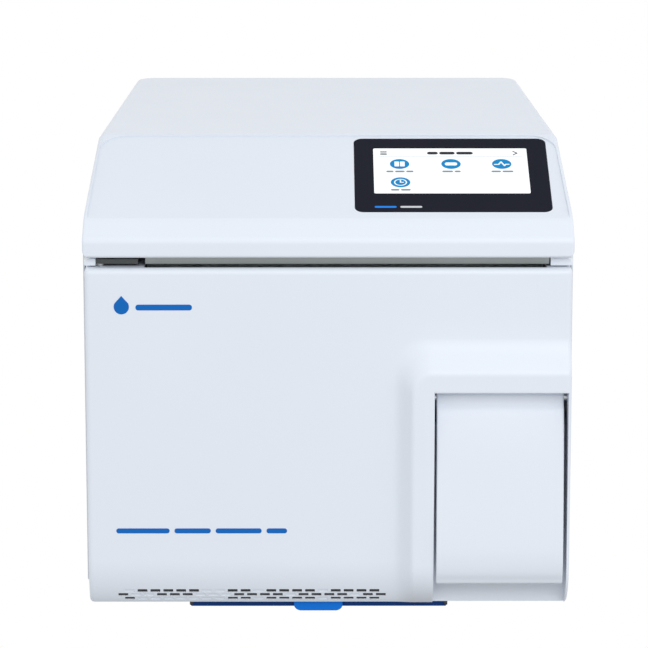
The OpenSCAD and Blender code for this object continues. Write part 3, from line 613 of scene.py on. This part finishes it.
def recess_tool(flare=1.1):
    """Cutter for the hollow behind the handle, flared to round its rim."""
    far_y = -300.0
    heights = spaced(RECESS_TOP, DOOR_BOTTOM - 1, 4) + [DOOR_BOTTOM - 1]
    back_z = [z for y, z in RECESS_BACK][::-1]
    back_y = [y for y, z in RECESS_BACK][::-1]

    def ring(x, depth, full):
        top = [(far_y, RECESS_TOP + flare), (bulge_surface(RECESS_TOP, -0.05), RECESS_TOP + flare)]
        if full:
            face = bulge_surface(RECESS_TOP, 0)
            top += arc(face + flare, RECESS_TOP + flare, flare, 180, 270, 4)
            inner = [(float(np.interp(z, back_z, back_y)), z) for z in heights]
        else:
            top += [(bulge_surface(RECESS_TOP, depth), RECESS_TOP + flare * (1 - i / 5)) for i in range(5)]
            inner = [(bulge_surface(z, depth), z) for z in heights]
        points = top + inner + [(far_y, DOOR_BOTTOM - 1)]
        return [(x, y, z) for y, z in points]

    steps = [math.radians(90 * i / 4) for i in range(5)]
    bend = [(flare * (1 - math.sin(a)), flare * (1 - math.cos(a))) for a in steps]
    rings = [ring(RECESS_X[0] - d, depth - 0.05, False) for d, depth in bend]
    rings += [ring(RECESS_X[0], 0, True), ring(RECESS_X[1], 0, True)]
    rings += [ring(RECESS_X[1] + d, depth - 0.05, False) for d, depth in reversed(bend)]
    return loft("recess_tool", rings)


def vent_tools():
    """Round-ended slot cutters: those that go through, and the shallow ones."""
    through, shallow = [], []
    for angle, shift, pattern in VENT_ROWS:
        a = math.radians(angle)
        centre = Vector((0, CURVE_Y - CURVE_D * math.cos(a), CURVE_Z - CURVE_R * math.sin(a)))
        out = Vector((0, -math.cos(a) / CURVE_D, -math.sin(a) / CURVE_R)).normalized()
        along = Vector((0, -out.z, out.y))
        for i, mark in enumerate(pattern):
            x0 = VENT_X0 + (i + shift) * VENT_PITCH
            depth = -6.0 if mark == "o" else -0.5

            def place(u, v, h):
                p = centre + out * h + along * v
                return (x0 + u, p.y, p.z)

            outline = round_rect(0, -VENT_H / 2, VENT_L, VENT_H / 2, 0.6, 3)
            slot = prism("slot", outline, place, depth, 2.0)
            (through if mark == "o" else shallow).append(slot)
    return joined("through_slots", through), joined("shallow_slots", shallow)


def behind_vents(name, near, far, first, last, x0, x1):
    """A curved layer behind the slots, between two depths under the surface."""
    ring = []
    steps = [first + (last - first) * i / 8 for i in range(9)]
    for inset, angles in ((near, steps), (far, steps[::-1])):
        for degrees in angles:
            a = math.radians(degrees)
            ring.append((CURVE_Y - (CURVE_D - inset) * math.cos(a),
                         CURVE_Z - (CURVE_R - inset) * math.sin(a)))
    return loft(name, [[(x, y, z) for y, z in ring] for x in (x0, x1)])


def make_door_shell():
    """The door's outer moulding: hollow, with the recess, the slots and a hinge notch."""
    shell = door_body("door_shell_moulding", 0.0, LINER_Y, 4.0)
    inside = door_body("inside", SKIN, LINER_Y + 1, 0)
    wall = [(-300, RECESS_TOP + SKIN), (RECESS_BACK[0][0] + SKIN, RECESS_TOP + SKIN)]
    wall += [(y + SKIN, z) for y, z in RECESS_BACK] + [(-300, DOOR_BOTTOM - 2)]
    keep = loft("keep", [[(x, y, z) for y, z in wall] for x in (RECESS_X[0] - SKIN, DOOR_HALF + 2)])
    combine(inside, keep)
    combine(shell, inside)
    combine(shell, recess_tool())
    gap_z = RECESS_TOP - 35
    combine(shell, box("gap", (RECESS_X[0], RECESS_BACK[0][0] - 1, gap_z),
                       (RECESS_X[1], LINER_Y + 1, RECESS_TOP)))
    combine(shell, box("trough", (TROUGH[0], FRONT_Y + RIM, TROUGH[2]),
                       (TROUGH[1], LINER_Y + 1, DOOR_TOP + 1)))
    combine(shell, box("notch", *HINGE_NOTCH))
    combine(shell, behind_vents("thin_wall", 1.0, SKIN + 1, 33, 55.5, VENT_X0 - 4, 50))
    through, shallow = vent_tools()
    combine(shell, through)
    combine(shell, shallow)
    smooth(clean(shell, 0.003, 0), 28)
    return finish_piece(shell, "door", SHELL, ["door_shell"])


def make_vent_shade_sheet():
    """A dark sheet close behind the slots: painted shade that keeps them black."""
    screen = behind_vents("vent_painted_shade_sheet", 1.1, 2.0, 33.2, 55.3, VENT_X0 - 3.5, 49.5)
    smooth(screen, 40)
    # Dark plastic colour here is painted shade inside the slots
    return finish_piece(screen, "door", DARK)


# ---- handle ----

PIVOT_Y, PIVOT_Z, PIVOT_R = -245.5, HANDLE_HIGH.z - 6.5, 6.5


def smooth_line(points, per_span=6):
    """A Catmull-Rom curve through points."""
    pts = [Vector(p) for p in points]
    pts = [pts[0] * 2 - pts[1]] + pts + [pts[-1] * 2 - pts[-2]]
    line = []
    for i in range(1, len(pts) - 2):
        a, b, c, d = pts[i - 1 : i + 3]
        for k in range(per_span):
            t = k / per_span
            line.append(
                0.5 * ((2 * b) + (c - a) * t + (2 * a - 5 * b + 4 * c - d) * t * t
                       + (3 * b - a - 3 * c + d) * t**3)
            )
    return line + [pts[-2]]


def inset_outline(points, inset):
    """Moves each point of a closed outline inwards, along its own normal."""
    count = len(points)
    area = sum(points[i][0] * points[(i + 1) % count][1] - points[(i + 1) % count][0] * points[i][1]
               for i in range(count))
    turn = 1 if area > 0 else -1
    moved = []
    for i, (u, v) in enumerate(points):
        before, after = Vector(points[i - 1]), Vector(points[(i + 1) % count])
        along = (after - before).normalized()
        moved.append((u - along.y * inset * turn, v + along.x * inset * turn))
    return moved


def handle_outline():
    """Side view of the handle plate: round over its pivot, leaning out to its lower edge."""
    head = arc(PIVOT_Y, PIVOT_Z, PIVOT_R, 5, 168, 14)
    front = smooth_line([(-252.2, 186), (-257.5, 176), (-262.5, 150), (-266.8, 108), (-269.6, 73),
                         (-269.9, 58), (-268.3, 46), (-265.2, 38.6)])
    lip = arc(-262.2, 37.8, 2.6, 195, 345, 6)
    back = smooth_line([(-259.4, 40.2), (-261.3, 52), (-261.6, 69), (-259, 102), (-255, 140),
                        (-250, 170), (-243, 182)])
    return [tuple(p) for p in head + front + lip + back]


def make_handle():
    """The pull handle: a curved plate with rounded sides, bored for its pin."""
    outline = handle_outline()
    low_x, high_x = HANDLE_LOW.x, HANDLE_HIGH.x
    sides = edge_steps(1.4, 4)
    rings = [[(low_x + d, y, z) for y, z in inset_outline(outline, t)] for d, t in sides]
    rings += [[(high_x - d, y, z) for y, z in inset_outline(outline, t)] for d, t in reversed(sides)]
    handle = loft("door_handle_plate", rings)
    spring_x = ((low_x + high_x) / 2 - 10, (low_x + high_x) / 2 + 10)
    combine(handle, box("pocket", (spring_x[0], PIVOT_Y - 4.7, PIVOT_Z - 9),
                        (spring_x[1], PIVOT_Y + 9, PIVOT_Z + 4.6)))
    combine(handle, rod("bore", (low_x - 5, PIVOT_Y, PIVOT_Z), (high_x + 5, PIVOT_Y, PIVOT_Z), 3.1))
    smooth(clean(handle, 0.003, 0), 30)
    return finish_piece(handle, "handle", SHELL, ["door_handle"])


make_door_shell()
make_vent_shade_sheet()
make_handle()


# ---- display hood ----

SINK = 1.3
NOSE_Y, NOSE_LOW_Z = -236, 321.5
HOOD_BOTTOM = HOOD_LOW.z
LID_Z = LID_LOW.z
BEZEL_U = (22.0, 183.4)
BEZEL_V = (5.0, 125.0)
SCREEN_BOX = (38.0, 21.6, 167.0, 95.6)
BAR_V = (115.5, 118.5)
BAR_STARTS = (38.0, 59.0)
BAR_L = 18.0


def half_at(y):
    """Half width of the hood and lid at y."""
    return HOOD_HALF - TAPER * (y - FRONT_Y)


def fascia(u, v, w=0.0):
    """A point of the sloping face: across, down from its top edge, and out of it."""
    s, c = math.sin(FASCIA_TILT), math.cos(FASCIA_TILT)
    return (u, CREASE_Y - v * c - w * s, TOP_Z - v * s + w * c)


def filleted(points, radii, steps=8):
    """An open line with its inner corners rounded."""
    line = [points[0]]
    for i in range(1, len(points) - 1):
        a, b, c = (Vector(p) for p in points[i - 1 : i + 2])
        ab, cb = (a - b).normalized(), (c - b).normalized()
        half = ab.angle(cb) / 2
        reach = radii[i - 1] / math.tan(half)
        centre = b + (ab + cb).normalized() * (radii[i - 1] / math.sin(half))
        start, end = b + ab * reach - centre, b + cb * reach - centre
        sweep = start.angle_signed(end)
        for k in range(steps + 1):
            turn = -sweep * k / steps
            line.append(tuple(centre + Matrix.Rotation(turn, 2) @ start))
    return line + [points[-1]]


def hood_line():
    """The hood's outer line from its top rear edge round to its bottom rear edge."""
    nose_z = TOP_Z - (CREASE_Y - NOSE_Y) * math.tan(FASCIA_TILT)
    return filleted(
        [(CREASE_Y, TOP_Z), (NOSE_Y, nose_z), (FRONT_Y, NOSE_LOW_Z), (FRONT_Y, HOOD_BOTTOM),
         (CREASE_Y, HOOD_BOTTOM)],
        [34, 9, 2.4],
    )


def inward(line, i, inset):
    """Point i of an open line, moved to the line's inner side."""
    before, after = Vector(line[max(i - 1, 0)]), Vector(line[min(i + 1, len(line) - 1)])
    along = (after - before).normalized()
    return line[i][0] - along.y * inset, line[i][1] + along.x * inset


def offset_line(line, inset):
    """Moves a whole open line to its inner side."""
    return [inward(line, i, inset) for i in range(len(line))]


def hood_ring(side, turn, from_edge=None, low_corner=6.5):
    """The hood's outline near one side: turn goes from 0 on the side to 1 at the end of
    its round edge. The edge is fuller next to the lid."""
    base = hood_line()
    ring = []
    for i, (y, z) in enumerate(base):
        away = math.hypot(y - CREASE_Y, z - TOP_Z)
        r = 2.0 + 4.0 * max(0.0, 1 - away / 34) ** 1.5
        a = math.radians(90 * turn)
        inset = r * (1 - math.sin(a))
        edge = r * (1 - math.cos(a)) if from_edge is None else max(from_edge, r)
        y, z = inward(base, i, inset)
        reach = max(low_corner - edge, 0)
        raised = HOOD_BOTTOM + low_corner - math.sqrt(low_corner**2 - reach**2)
        ring.append((side * (half_at(y) - edge), y, max(z, raised)))
    return ring


def make_hood():
    """The display hood: a hollow moulding with a sunk face and an opening for the display."""
    steps = [(t / 6, None) for t in range(7)] + [(1.0, 3.2), (1.0, 4.8), (1.0, 6.5)]
    rings = [hood_ring(-1, turn, edge) for turn, edge in steps]
    rings += [hood_ring(1, turn, edge) for turn, edge in reversed(steps)]
    hood = loft("display_hood_moulding", rings)
    inner_line = offset_line(hood_line(), SKIN + SINK)
    inner_line[0] = (CREASE_Y + 4, inner_line[0][1] + 1.5)
    inner_line[-1] = (CREASE_Y + 4, HOOD_BOTTOM + SKIN)
    inside = loft("inside", [
        [(side * (half_at(y) - SKIN), y, max(z, HOOD_BOTTOM + SKIN)) for y, z in inner_line]
        for side in (-1, 1)
    ])
    combine(hood, inside)
    floor_half = half_at(-190) - SKIN - 1
    combine(hood, box("floor_opening", (-floor_half, -190, HOOD_BOTTOM - 1),
                      (floor_half, CREASE_Y + 2, HOOD_BOTTOM + SKIN + 1)))
    # The face lies a little below the lid and has round upper corners
    top_half, low_half = half_at(CREASE_Y) - 2.4, half_at(FRONT_Y) - 2.2
    outline = [(low_half, 165.0), (-low_half, 165.0)]
    corner = 23.0
    turns = [math.radians(90 * i / 16) for i in range(17)]
    outline += [(-top_half + corner - corner * math.cos(a), 24.6 - corner * math.sin(a)) for a in turns]
    outline += [(top_half - corner + corner * math.sin(a), 24.6 - corner * math.cos(a)) for a in turns]
    combine(hood, prism("face_cut", outline, fascia, -SINK, 6.0))
    gap = 0.35
    seat = round_rect(BEZEL_U[0] - gap, BEZEL_V[0] - gap, BEZEL_U[1] + gap, BEZEL_V[1] + gap, 7.3)
    combine(hood, prism("bezel_cut", seat, fascia, -SINK - 2.0, 4.0))
    combine(hood, prism("window", round_rect(48, 31.6, 157, 85.6, 3), fascia, -20.0, 4.0))
    smooth(clean(hood, 0.003, 0), 24)
    return finish_piece(hood, "housing", SHELL, ["display_hood"])


def make_display():
    """The dark glass with its lit screen and two status bars."""
    top = -SINK + 0.15
    glass = prism("display_bezel", round_rect(BEZEL_U[0], BEZEL_V[0], BEZEL_U[1], BEZEL_V[1], 7, 10),
                  fascia, -SINK - 1.9, top)
    round_edges(glass, 0.35, 2, 60)
    combine(glass, prism("screen_cut", round_rect(*SCREEN_BOX, 1.5, 4), fascia, top - 0.5, 2))
    for u in BAR_STARTS:
        outline = round_rect(u, BAR_V[0], u + BAR_L, BAR_V[1], 1.3, 4)
        combine(glass, prism("bar_cut", outline, fascia, top - 0.5, 2))
    smooth(clean(glass, 0.003, 0), 30)
    finish_piece(glass, "housing", BEZEL, ["display_glass"])
    screen = prism("display_screen_lit", round_rect(*SCREEN_BOX, 1.4, 4), fascia, top - 0.5, top - 0.04)
    finish_piece(screen, "housing", SCREEN, ["display_screen"])
    bars = []
    for i, (u, look) in enumerate(zip(BAR_STARTS, (BLUE_LIGHT, WHITE_LIGHT))):
        outline = round_rect(u + 0.05, BAR_V[0] + 0.05, u + BAR_L - 0.05, BAR_V[1] - 0.05, 1.25, 5)
        bar = prism(f"status_bar_{i + 1}", outline, fascia, top - 0.5, top - 0.02)
        bars.append(finish_piece(bar, "housing", look, ["status_light_bars"]))
    for obj in [screen, *bars]:
        smooth(obj, 30)
    make_symbols(top - 0.04)


def ink(outlines, low, high):
    """Thin flat shapes lying on the screen."""
    return [prism("ink", outline, fascia, low, high) for outline in outlines]


def circle(u, v, radius, steps=48):
    """Outline of a full circle."""
    return arc(u, v, radius, 0, 360 - 360 / steps, steps - 1)


def stroke(points, width):
    """A thin bar along each stretch of a line."""
    bars = []
    for a, b in zip(points, points[1:]):
        a, b = Vector(a), Vector(b)
        along = (b - a).normalized()
        side = Vector((-along.y, along.x)) * width / 2
        ends = along * width * 0.35
        corners = (a - ends - side, b + ends - side, b + ends + side, a - ends + side)
        bars.append([tuple(p) for p in corners])
    return bars


def text_bars(u, v, widths, height, gap=1.3):
    """Rounded bars that stand for a line of words, centred on u."""
    total = sum(widths) + gap * (len(widths) - 1)
    left = u - total / 2
    bars = []
    for width in widths:
        bars.append(round_rect(left, v - height / 2, left + width, v + height / 2, height * 0.45, 3))
        left += width + gap
    return bars


def make_symbols(face):
    """Generic picture of a menu: four round symbols, a heading and captions."""
    centres = [(59.8, 47.5), (102.8, 47.5), (145.2, 47.5), (60.0, 77.6)]
    layers = {"blue": [], "white": [], "dark": []}
    for u, v in centres:
        layers["blue"] += ink([circle(u, v, 8.1)], face - 0.02, face + 0.03)
    u, v = centres[0]
    pages = [round_rect(left, v - 4, right, v + 4, 0.5, 2)
             for left, right in ((u - 4.3, u - 0.4), (u + 0.4, u + 4.3))]
    u, v = centres[1]
    leaf = [(u + 5.2 * math.cos(a), v + 2.9 * math.sin(a) + 0.5 * math.sin(3 * a))
            for a in (2 * math.pi * i / 40 for i in range(40))]
    u, v = centres[2]
    pulse = stroke([(u - 6, v + 0.8), (u - 2.6, v + 0.8), (u - 0.4, v - 3.4), (u + 2.2, v + 2.8),
                    (u + 3.4, v + 0.6), (u + 6, v + 0.6)], 1.3)
    u, v = centres[3]
    hands = stroke([(u, v - 3.2), (u, v), (u + 2.4, v)], 1.1)
    layers["white"] += ink(pages + [leaf] + pulse + hands, face + 0.02, face + 0.06)
    layers["white"].append(
        spun("ring", [(4.4, face + 0.02), (5.4, face + 0.02), (5.4, face + 0.06), (4.4, face + 0.06)],
             lambda a, b, h: fascia(u + a, v + b, h), 48))
    words = text_bars(102.5, 29.5, (9, 13, 14), 4.4, 1.2)
    words += stroke([(155.6, 26.6), (158.8, 29.5), (155.6, 32.4)], 1.1)
    for row in (27.2, 29.5, 31.8):
        words += [round_rect(43.9, row - 0.6, 49.4, row + 0.6, 0.3, 2)]
    captions = text_bars(59.8, 59.8, (6, 8, 6), 2.6) + text_bars(102.8, 59.8, (9, 5), 2.6)
    captions += text_bars(145.2, 59.8, (8, 9), 2.6) + text_bars(60.0, 89.7, (7, 8), 2.6)
    layers["dark"] += ink(words, face - 0.02, face + 0.03)
    names = {"blue": ("screen_symbols", SCREEN_BLUE), "white": ("screen_symbol_shapes", SCREEN),
             "dark": ("screen_heading", SCREEN_DARK)}
    for key, (name, material) in names.items():
        finish_piece(joined(name, layers[key]), "housing", material)
    grey = ink(captions + [round_rect(42, 35.5, 163, 35.9, 0.15, 2)], face - 0.02, face + 0.03)
    finish_piece(joined("screen_captions", grey), "housing", SCREEN_GREY)


# ---- lid ----


def lid_ring(z, side_in, front_in, corner=15.0):
    """Plan of the lid: tapered, with round rear corners."""
    y0, y1 = CREASE_Y + 0.6 + front_in, LID_HIGH.y - side_in
    front, rear = half_at(y0) - side_in, half_at(y1) - side_in
    r = max(corner - side_in * 0.6, 1.0)
    plan = [(front - 0.8, y0), (front, y0 + 0.8)]
    plan += arc(rear - r, y1 - r, r, 0, 90, 8) + arc(-rear + r, y1 - r, r, 90, 180, 8)
    plan += [(-front, y0 + 0.8), (-front + 0.8, y0)]
    return [(x, y, z) for x, y in plan]


def lid_block(name, inset, low, high, edge):
    """The lid's outer form, or its hollow when inset."""
    steps = [math.radians(90 * i / 8) for i in range(9)]
    rings = [lid_ring(low, inset, inset)]
    for a in steps:
        drop = edge * (1 - math.sin(a))
        front_edge = 2.2 if edge > 3 else edge
        front_drop = min(drop, front_edge)
        front_in = front_edge - math.sqrt(front_edge**2 - (front_edge - front_drop) ** 2)
        rings.append(lid_ring(high - drop, inset + edge * (1 - math.cos(a)), inset + front_in))
    return loft(name, rings)


def make_lid():
    """The lid over the tanks, with two ears for its hinge pins."""
    lid = lid_block("top_lid_moulding", 0.0, LID_Z, TOP_Z, 6.0)
    combine(lid, lid_block("hollow", 2.5, LID_Z - 1, TOP_Z - 2.5, 4.0))
    axis_y, axis_z, ear_x = 238.0, 356.0, 160.3
    for side in (-1, 1):
        x0, x1 = sorted((side * ear_x, side * (ear_x + 3)))
        combine(lid, box("web", (x0, axis_y - 6, axis_z), (x1, axis_y + 6, TOP_Z - 2)), "UNION")
        combine(lid, rod("ear", (x0, axis_y, axis_z), (x1, axis_y, axis_z), 6, 40), "UNION")
        combine(lid, rod("bore", (x0 - 3, axis_y, axis_z), (x1 + 3, axis_y, axis_z), 2.56))
        slot = side * 158
        combine(lid, box("slot", (slot - 3, axis_y + 3, LID_Z - 1), (slot + 3, 260, axis_z + 9)))
    smooth(clean(lid, 0.003, 0), 24)
    return finish_piece(lid, "top_lid", SHELL, ["top_lid"])


make_hood()
make_display()
make_lid()


# ---- marks on the door ----


def on_door(u, v, h=0.0):
    """A point on the door's flat face: across, up, and out of it."""
    return (u, FRONT_Y - h, v)


def make_marks():
    """Plain blue shapes: a drop and a bar above, a broken line below."""
    drop = [(-168.5 + 6.2 * math.cos(a), 266.4 + 6.2 * math.sin(a)) for a in
            (math.radians(150 + 240 * i / 24) for i in range(25))] + [(-168.5, 275.5)]
    upper = [drop, round_rect(-157, 263.5, -111, 268.3, 2.2, 5)]
    lower = [round_rect(u, 75.4, u + w, 79.6, 2.0, 4) for u, w in
             ((-175, 44), (-127, 30), (-93, 38), (-51, 17))]
    shapes = [prism("mark", outline, on_door, -0.05, 0.18) for outline in upper + lower]
    return finish_piece(joined("door_marks", shapes), "door", MARK_BLUE)


# ---- the gap between hood and door ----


def make_gap_pieces():
    """What shows between the hood and the door: the frame's white end pieces, with a
    round outer corner, and the hood's turned-in lower edge, coloured grey as painted shade."""
    ends = ((-1, "frame_end_left", 189.5, 198.8), (1, "frame_end_right", 181.0, 199.0))
    for side, name, inner, outer in ends:
        corner = arc(outer - 4.5, 300.6, 4.5, 0, 90, 8)
        outline = [(inner, 298.9), (outer, 298.9)] + corner + [(inner, 305.1)]
        post = prism(name, [(side * u, v) for u, v in outline], lambda u, v, h: (u, h, v), -244.5, -192.5)
        round_edges(post, 0.8, 3, 40)
        smooth(post, 40)
        finish_piece(post, "housing", SHELL)
    top_z, low_z = HOOD_BOTTOM + 0.6, 299.9
    lip = [(-245.0, top_z), (-241.0, low_z), (-237.5, low_z), (-237.5, top_z)]
    lower_edge = prism("hood_turned_edge", lip, lambda u, v, h: (h, u, v), -149.0, 180.0)
    smooth(lower_edge, 30)
    # Its grey is painted shade; the edge belongs to the white hood moulding
    finish_piece(lower_edge, "housing", PAINTED_SHADE_GREY)


def make_frame():
    """The front frame and its hinge brackets, in their own colours."""
    refined("front_frame", "front_frame_sheet", 0.5, FRAME_WHITE)
    refined("hinge_brackets", "hinge_bracket_plates", 0.6, BRACKET)


# ---- dust filter ----


def make_filter():
    """The dust filter's tray, in a darker blue than its tab as painted shade under the door, its pull tab,
    and dark end pieces that are painted shade on the tray's rounded ends.
    """
    x0, x1, y0, y1 = FILTER_LOW.x, FILTER_HIGH.x, FILTER_LOW.y + 4, FILTER_HIGH.y
    z0, z1 = 7.7, FILTER_HIGH.z
    tray = prism("dust_filter_tray", round_rect(x0, y0, x1, y1, 4), lambda u, v, h: (u, v, h), z0, z1)
    round_edges(tray, 0.8, 3, 50)
    combine(tray, box("window", (x0 + 11, y0 + 11, z0 - 1), (x1 - 11, y1 - 11, z1 + 1)))
    bar = box("front_bar", (x0 + 0.2, y0, z0 - 1.1), (x1 - 0.2, y0 + 7, z1))
    round_edges(bar, 1.0, 3, 50)
    combine(tray, bar, "UNION")
    smooth(clean(tray, 0.003, 0), 35)
    # Darker blue than the tab: painted shade under the door
    finish_piece(tray, "dust_filter", PAINTED_SHADE_BLUE, ["dust_filter_frame"])
    low = FILTER_LOW.z
    outline = [(12.0, z1 + 0.1), (-28.5, z1 + 0.1)] + arc(-22.5, low + 5, 5.0, 180, 270, 8)
    outline[2:] = [(-22.5 + (u + 22.5) * 1.2, v) for u, v in outline[2:]]
    outline += [(-16.5 - u, v) for u, v in reversed(outline[2:])]
    tab = prism("dust_filter_tab", outline, lambda u, v, h: (u, FILTER_LOW.y + h, v), -0.4, 8.0)
    round_edges(tab, 0.8, 3, 50)
    smooth(tab, 40)
    finish_piece(tab, "dust_filter", BLUE)
    # Dark rods at the tray's ends: painted shade of its rounded ends
    ends = []
    end_y, end_z = y0 + 1.4, (z0 + z1) / 2
    for x, side in ((x0, -1), (x1, 1)):
        ends.append(rod("end", (x - side * 2.2, end_y, end_z), (x + side * 0.6, end_y, end_z), 2.5, 24))
    caps = joined("dust_filter_painted_shade_ends", ends)
    smooth(caps, 40)
    finish_piece(caps, "dust_filter", DARK)


# ---- rounded copies of the other CAD parts ----

ROUNDED = (
    ("base_chassis", "base_tray", 0.6), ("feet", "rubber_feet", 1.2),
    ("side_panel_left", "side_cover_left", 0.7), ("side_panel_right", "side_cover_right", 0.7),
    ("rear_panel", "rear_cover", 0.5), ("lid_hinge_pins", "lid_pins", 0.4),
    ("display_board", "display_circuit", 0.2), ("chamber", "pressure_chamber", 0.6),
    ("chamber_flange", "chamber_mouth_ring", 0.8), ("insulation_jacket", "insulation_wrap", 1.5),
    ("heater_bands", "heater_mats", 0.4), ("chamber_brackets", "chamber_supports", 0.5),
    ("chamber_rack", "tray_rack", 0.3), ("door_liner", "door_inner_panel", 0.5),
    ("closure_plate", "closure_disc", 0.8), ("door_seal", "door_gasket", 0.8),
    ("lock_spindle", "lock_bolt", 0.4), ("latch_hook", "latch_claw", 0.3),
    ("fasteners", "screws", 0.4), ("filter_rails", "filter_guides", 0.2),
    ("hinge_pins", "door_hinge_pins", 0.4), ("mains_inlet", "mains_socket", 0.4),
    ("mains_switch", "switch_frame", 0.3), ("switch_rocker", "rocker_key", 0.4),
    ("safety_valve", "relief_valve", 0.3), ("drain_couplings", "drain_unions", 0.3),
    ("tray_1", "tray_low", 0.4), ("tray_2", "tray_middle", 0.4), ("tray_3", "tray_high", 0.4),
    ("feed_tank", "clean_water_tank", 3.0), ("waste_tank", "used_water_tank", 3.0),
    ("steam_generator", "steam_boiler", 1.5), ("vacuum_pump", "vacuum_pump_body", 1.2),
    ("feed_pump", "feed_pump_body", 0.8), ("valve_block", "valve_manifold", 0.6),
    ("solenoid_valves", "solenoids", 0.6), ("condenser", "condenser_fins", 0.3),
    ("fan_frame", "fan_housing", 0.6), ("fan_rotor", "fan_blades", 0.3),
    ("power_supply", "power_unit", 0.6), ("control_board", "main_board", 0.2),
    ("air_filter", "air_filter_body", 0.6), ("pipework", "pipes", 0.3),
    ("lock_nut", "lock_gear_nut", 0.25), ("lock_motor", "lock_motor_can", 0.6),
    ("lock_pinion", "lock_gear_pinion", 0.25), ("dust_filter_mat", "filter_foam_sheet", 0.2),
    ("handle_pin", "handle_shaft", 0.3),
)


def make_caps():
    """Screw caps of the two tanks, with grip ribs round the side."""
    low, high = box_mm("tank_caps")
    radius = (high.y - low.y) / 2
    centre_y = (low.y + high.y) / 2
    caps = []
    profile = ((low.z, 0.6), (low.z + 1.0, 0.0), (high.z - 2.2, 0.0), (high.z - 0.7, 0.7), (high.z, 2.2))
    count, groove = 120, 0.9
    for x in (low.x + radius, high.x - radius):
        rings = []
        for z, inset in profile:
            ring = []
            for i in range(count):
                r = radius - inset - (groove if i % 4 in (0, 1) else 0.0)
                a = 2 * math.pi * i / count
                ring.append((x + r * math.cos(a), centre_y + r * math.sin(a), z))
            rings.append(ring)
        cap = loft("cap", rings)
        combine(cap, rod("inside", (x, centre_y, low.z - 1), (x, centre_y, high.z - 5), radius - 4, 64))
        caps.append(cap)
    caps = joined("tank_screw_caps", caps)
    smooth(caps, 35)
    return finish_piece(caps, NODE_BODY["tank_caps"], BLUE, ["tank_caps"])


def make_spring():
    """The handle's return spring as a wound wire round its shaft."""
    low, high = box_mm("handle_spring")
    y, z = (low.y + high.y) / 2, (low.z + high.z) / 2
    wire, turns = 0.55, 8
    path_r = (high.z - low.z) / 2 - wire
    x0, x1 = low.x + wire, high.x - wire
    rings = []
    for i in range(turns * 20 + 1):
        a = 2 * math.pi * i / 20
        along = i / (turns * 20)
        centre = Vector((x0 + (x1 - x0) * along, y + path_r * math.cos(a), z + path_r * math.sin(a)))
        outward_dir = Vector((0, math.cos(a), math.sin(a)))
        rings.append([tuple(centre + (outward_dir * math.cos(t) + Vector((1, 0, 0)) * math.sin(t)) * wire)
                      for t in (2 * math.pi * k / 8 for k in range(8))])
    spring = loft("handle_return_spring", rings)
    smooth(spring, 60)
    return finish_piece(spring, NODE_BODY["handle_spring"], STEEL, ["handle_spring"])


def make_rounded():
    """Every node in ROUNDED as a copy with its edges rounded."""
    for node, name, width in ROUNDED:
        refined(node, name, width)


make_marks()
make_gap_pieces()
make_frame()
make_filter()
make_caps()
make_spring()
make_rounded()


# ---- camera, light and surroundings ----

CAMERA_PLACE = (-7.94, -2894.2, 816.2)
CAMERA_DOWN, CAMERA_TURN = 12.051, -0.096


def add_camera():
    """A long lens, far off and a little above, looking down at the door."""
    data = bpy.data.cameras.new("camera")
    data.lens = 184.2
    data.sensor_width = 36.0
    data.clip_end = 30.0
    cam = bpy.data.objects.new("camera", data)
    cam.location = [c * MM for c in CAMERA_PLACE]
    cam.rotation_euler = (math.radians(90 - CAMERA_DOWN), 0, math.radians(CAMERA_TURN))
    scene.collection.objects.link(cam)
    scene.camera = cam


def area_light(name, place, target, size, power):
    """A rectangular lamp aimed at a target."""
    data = bpy.data.lights.new(name, "AREA")
    data.shape = "RECTANGLE"
    data.size, data.size_y = size
    data.energy = power
    lamp = bpy.data.objects.new(name, data)
    lamp.location = place
    lamp.rotation_euler = (Vector(target) - Vector(place)).to_track_quat("-Z", "Y").to_euler()
    scene.collection.objects.link(lamp)


def add_studio():
    """Plain white all round, and a soft light from above and in front."""
    world = bpy.data.worlds.new("studio")
    world.use_nodes = True
    tree = world.node_tree
    where = tree.nodes.new("ShaderNodeTexCoord").outputs["Generated"]
    height = tree.nodes.new("ShaderNodeSeparateXYZ")
    ramp = tree.nodes.new("ShaderNodeMapRange")
    tree.links.new(where, height.inputs[0])
    tree.links.new(height.outputs["Z"], ramp.inputs["Value"])
    # White down to well below the horizon, dimmer from underneath
    for name, value in (("From Min", -0.60), ("From Max", -0.42), ("To Min", 0.35), ("To Max", 1.0)):
        ramp.inputs[name].default_value = value
    top = tree.nodes.new("ShaderNodeMapRange")
    tree.links.new(height.outputs["Z"], top.inputs["Value"])
    for name, value in (("From Min", 0.45), ("From Max", 0.95), ("To Min", 1.0), ("To Max", 0.78)):
        top.inputs[name].default_value = value
    both = tree.nodes.new("ShaderNodeMath")
    both.operation = "MULTIPLY"
    tree.links.new(ramp.outputs["Result"], both.inputs[0])
    tree.links.new(top.outputs["Result"], both.inputs[1])
    tree.nodes["Background"].inputs["Color"].default_value = (1.0, 1.0, 1.0, 1.0)
    tree.links.new(both.outputs[0], tree.nodes["Background"].inputs["Strength"])
    scene.world = world
    scene.view_settings.view_transform = "Standard"
    area_light("key", (0.9, -2.7, 1.9), (0, -0.1, 0.2), (1.6, 1.6), 27)


add_camera()
add_studio()
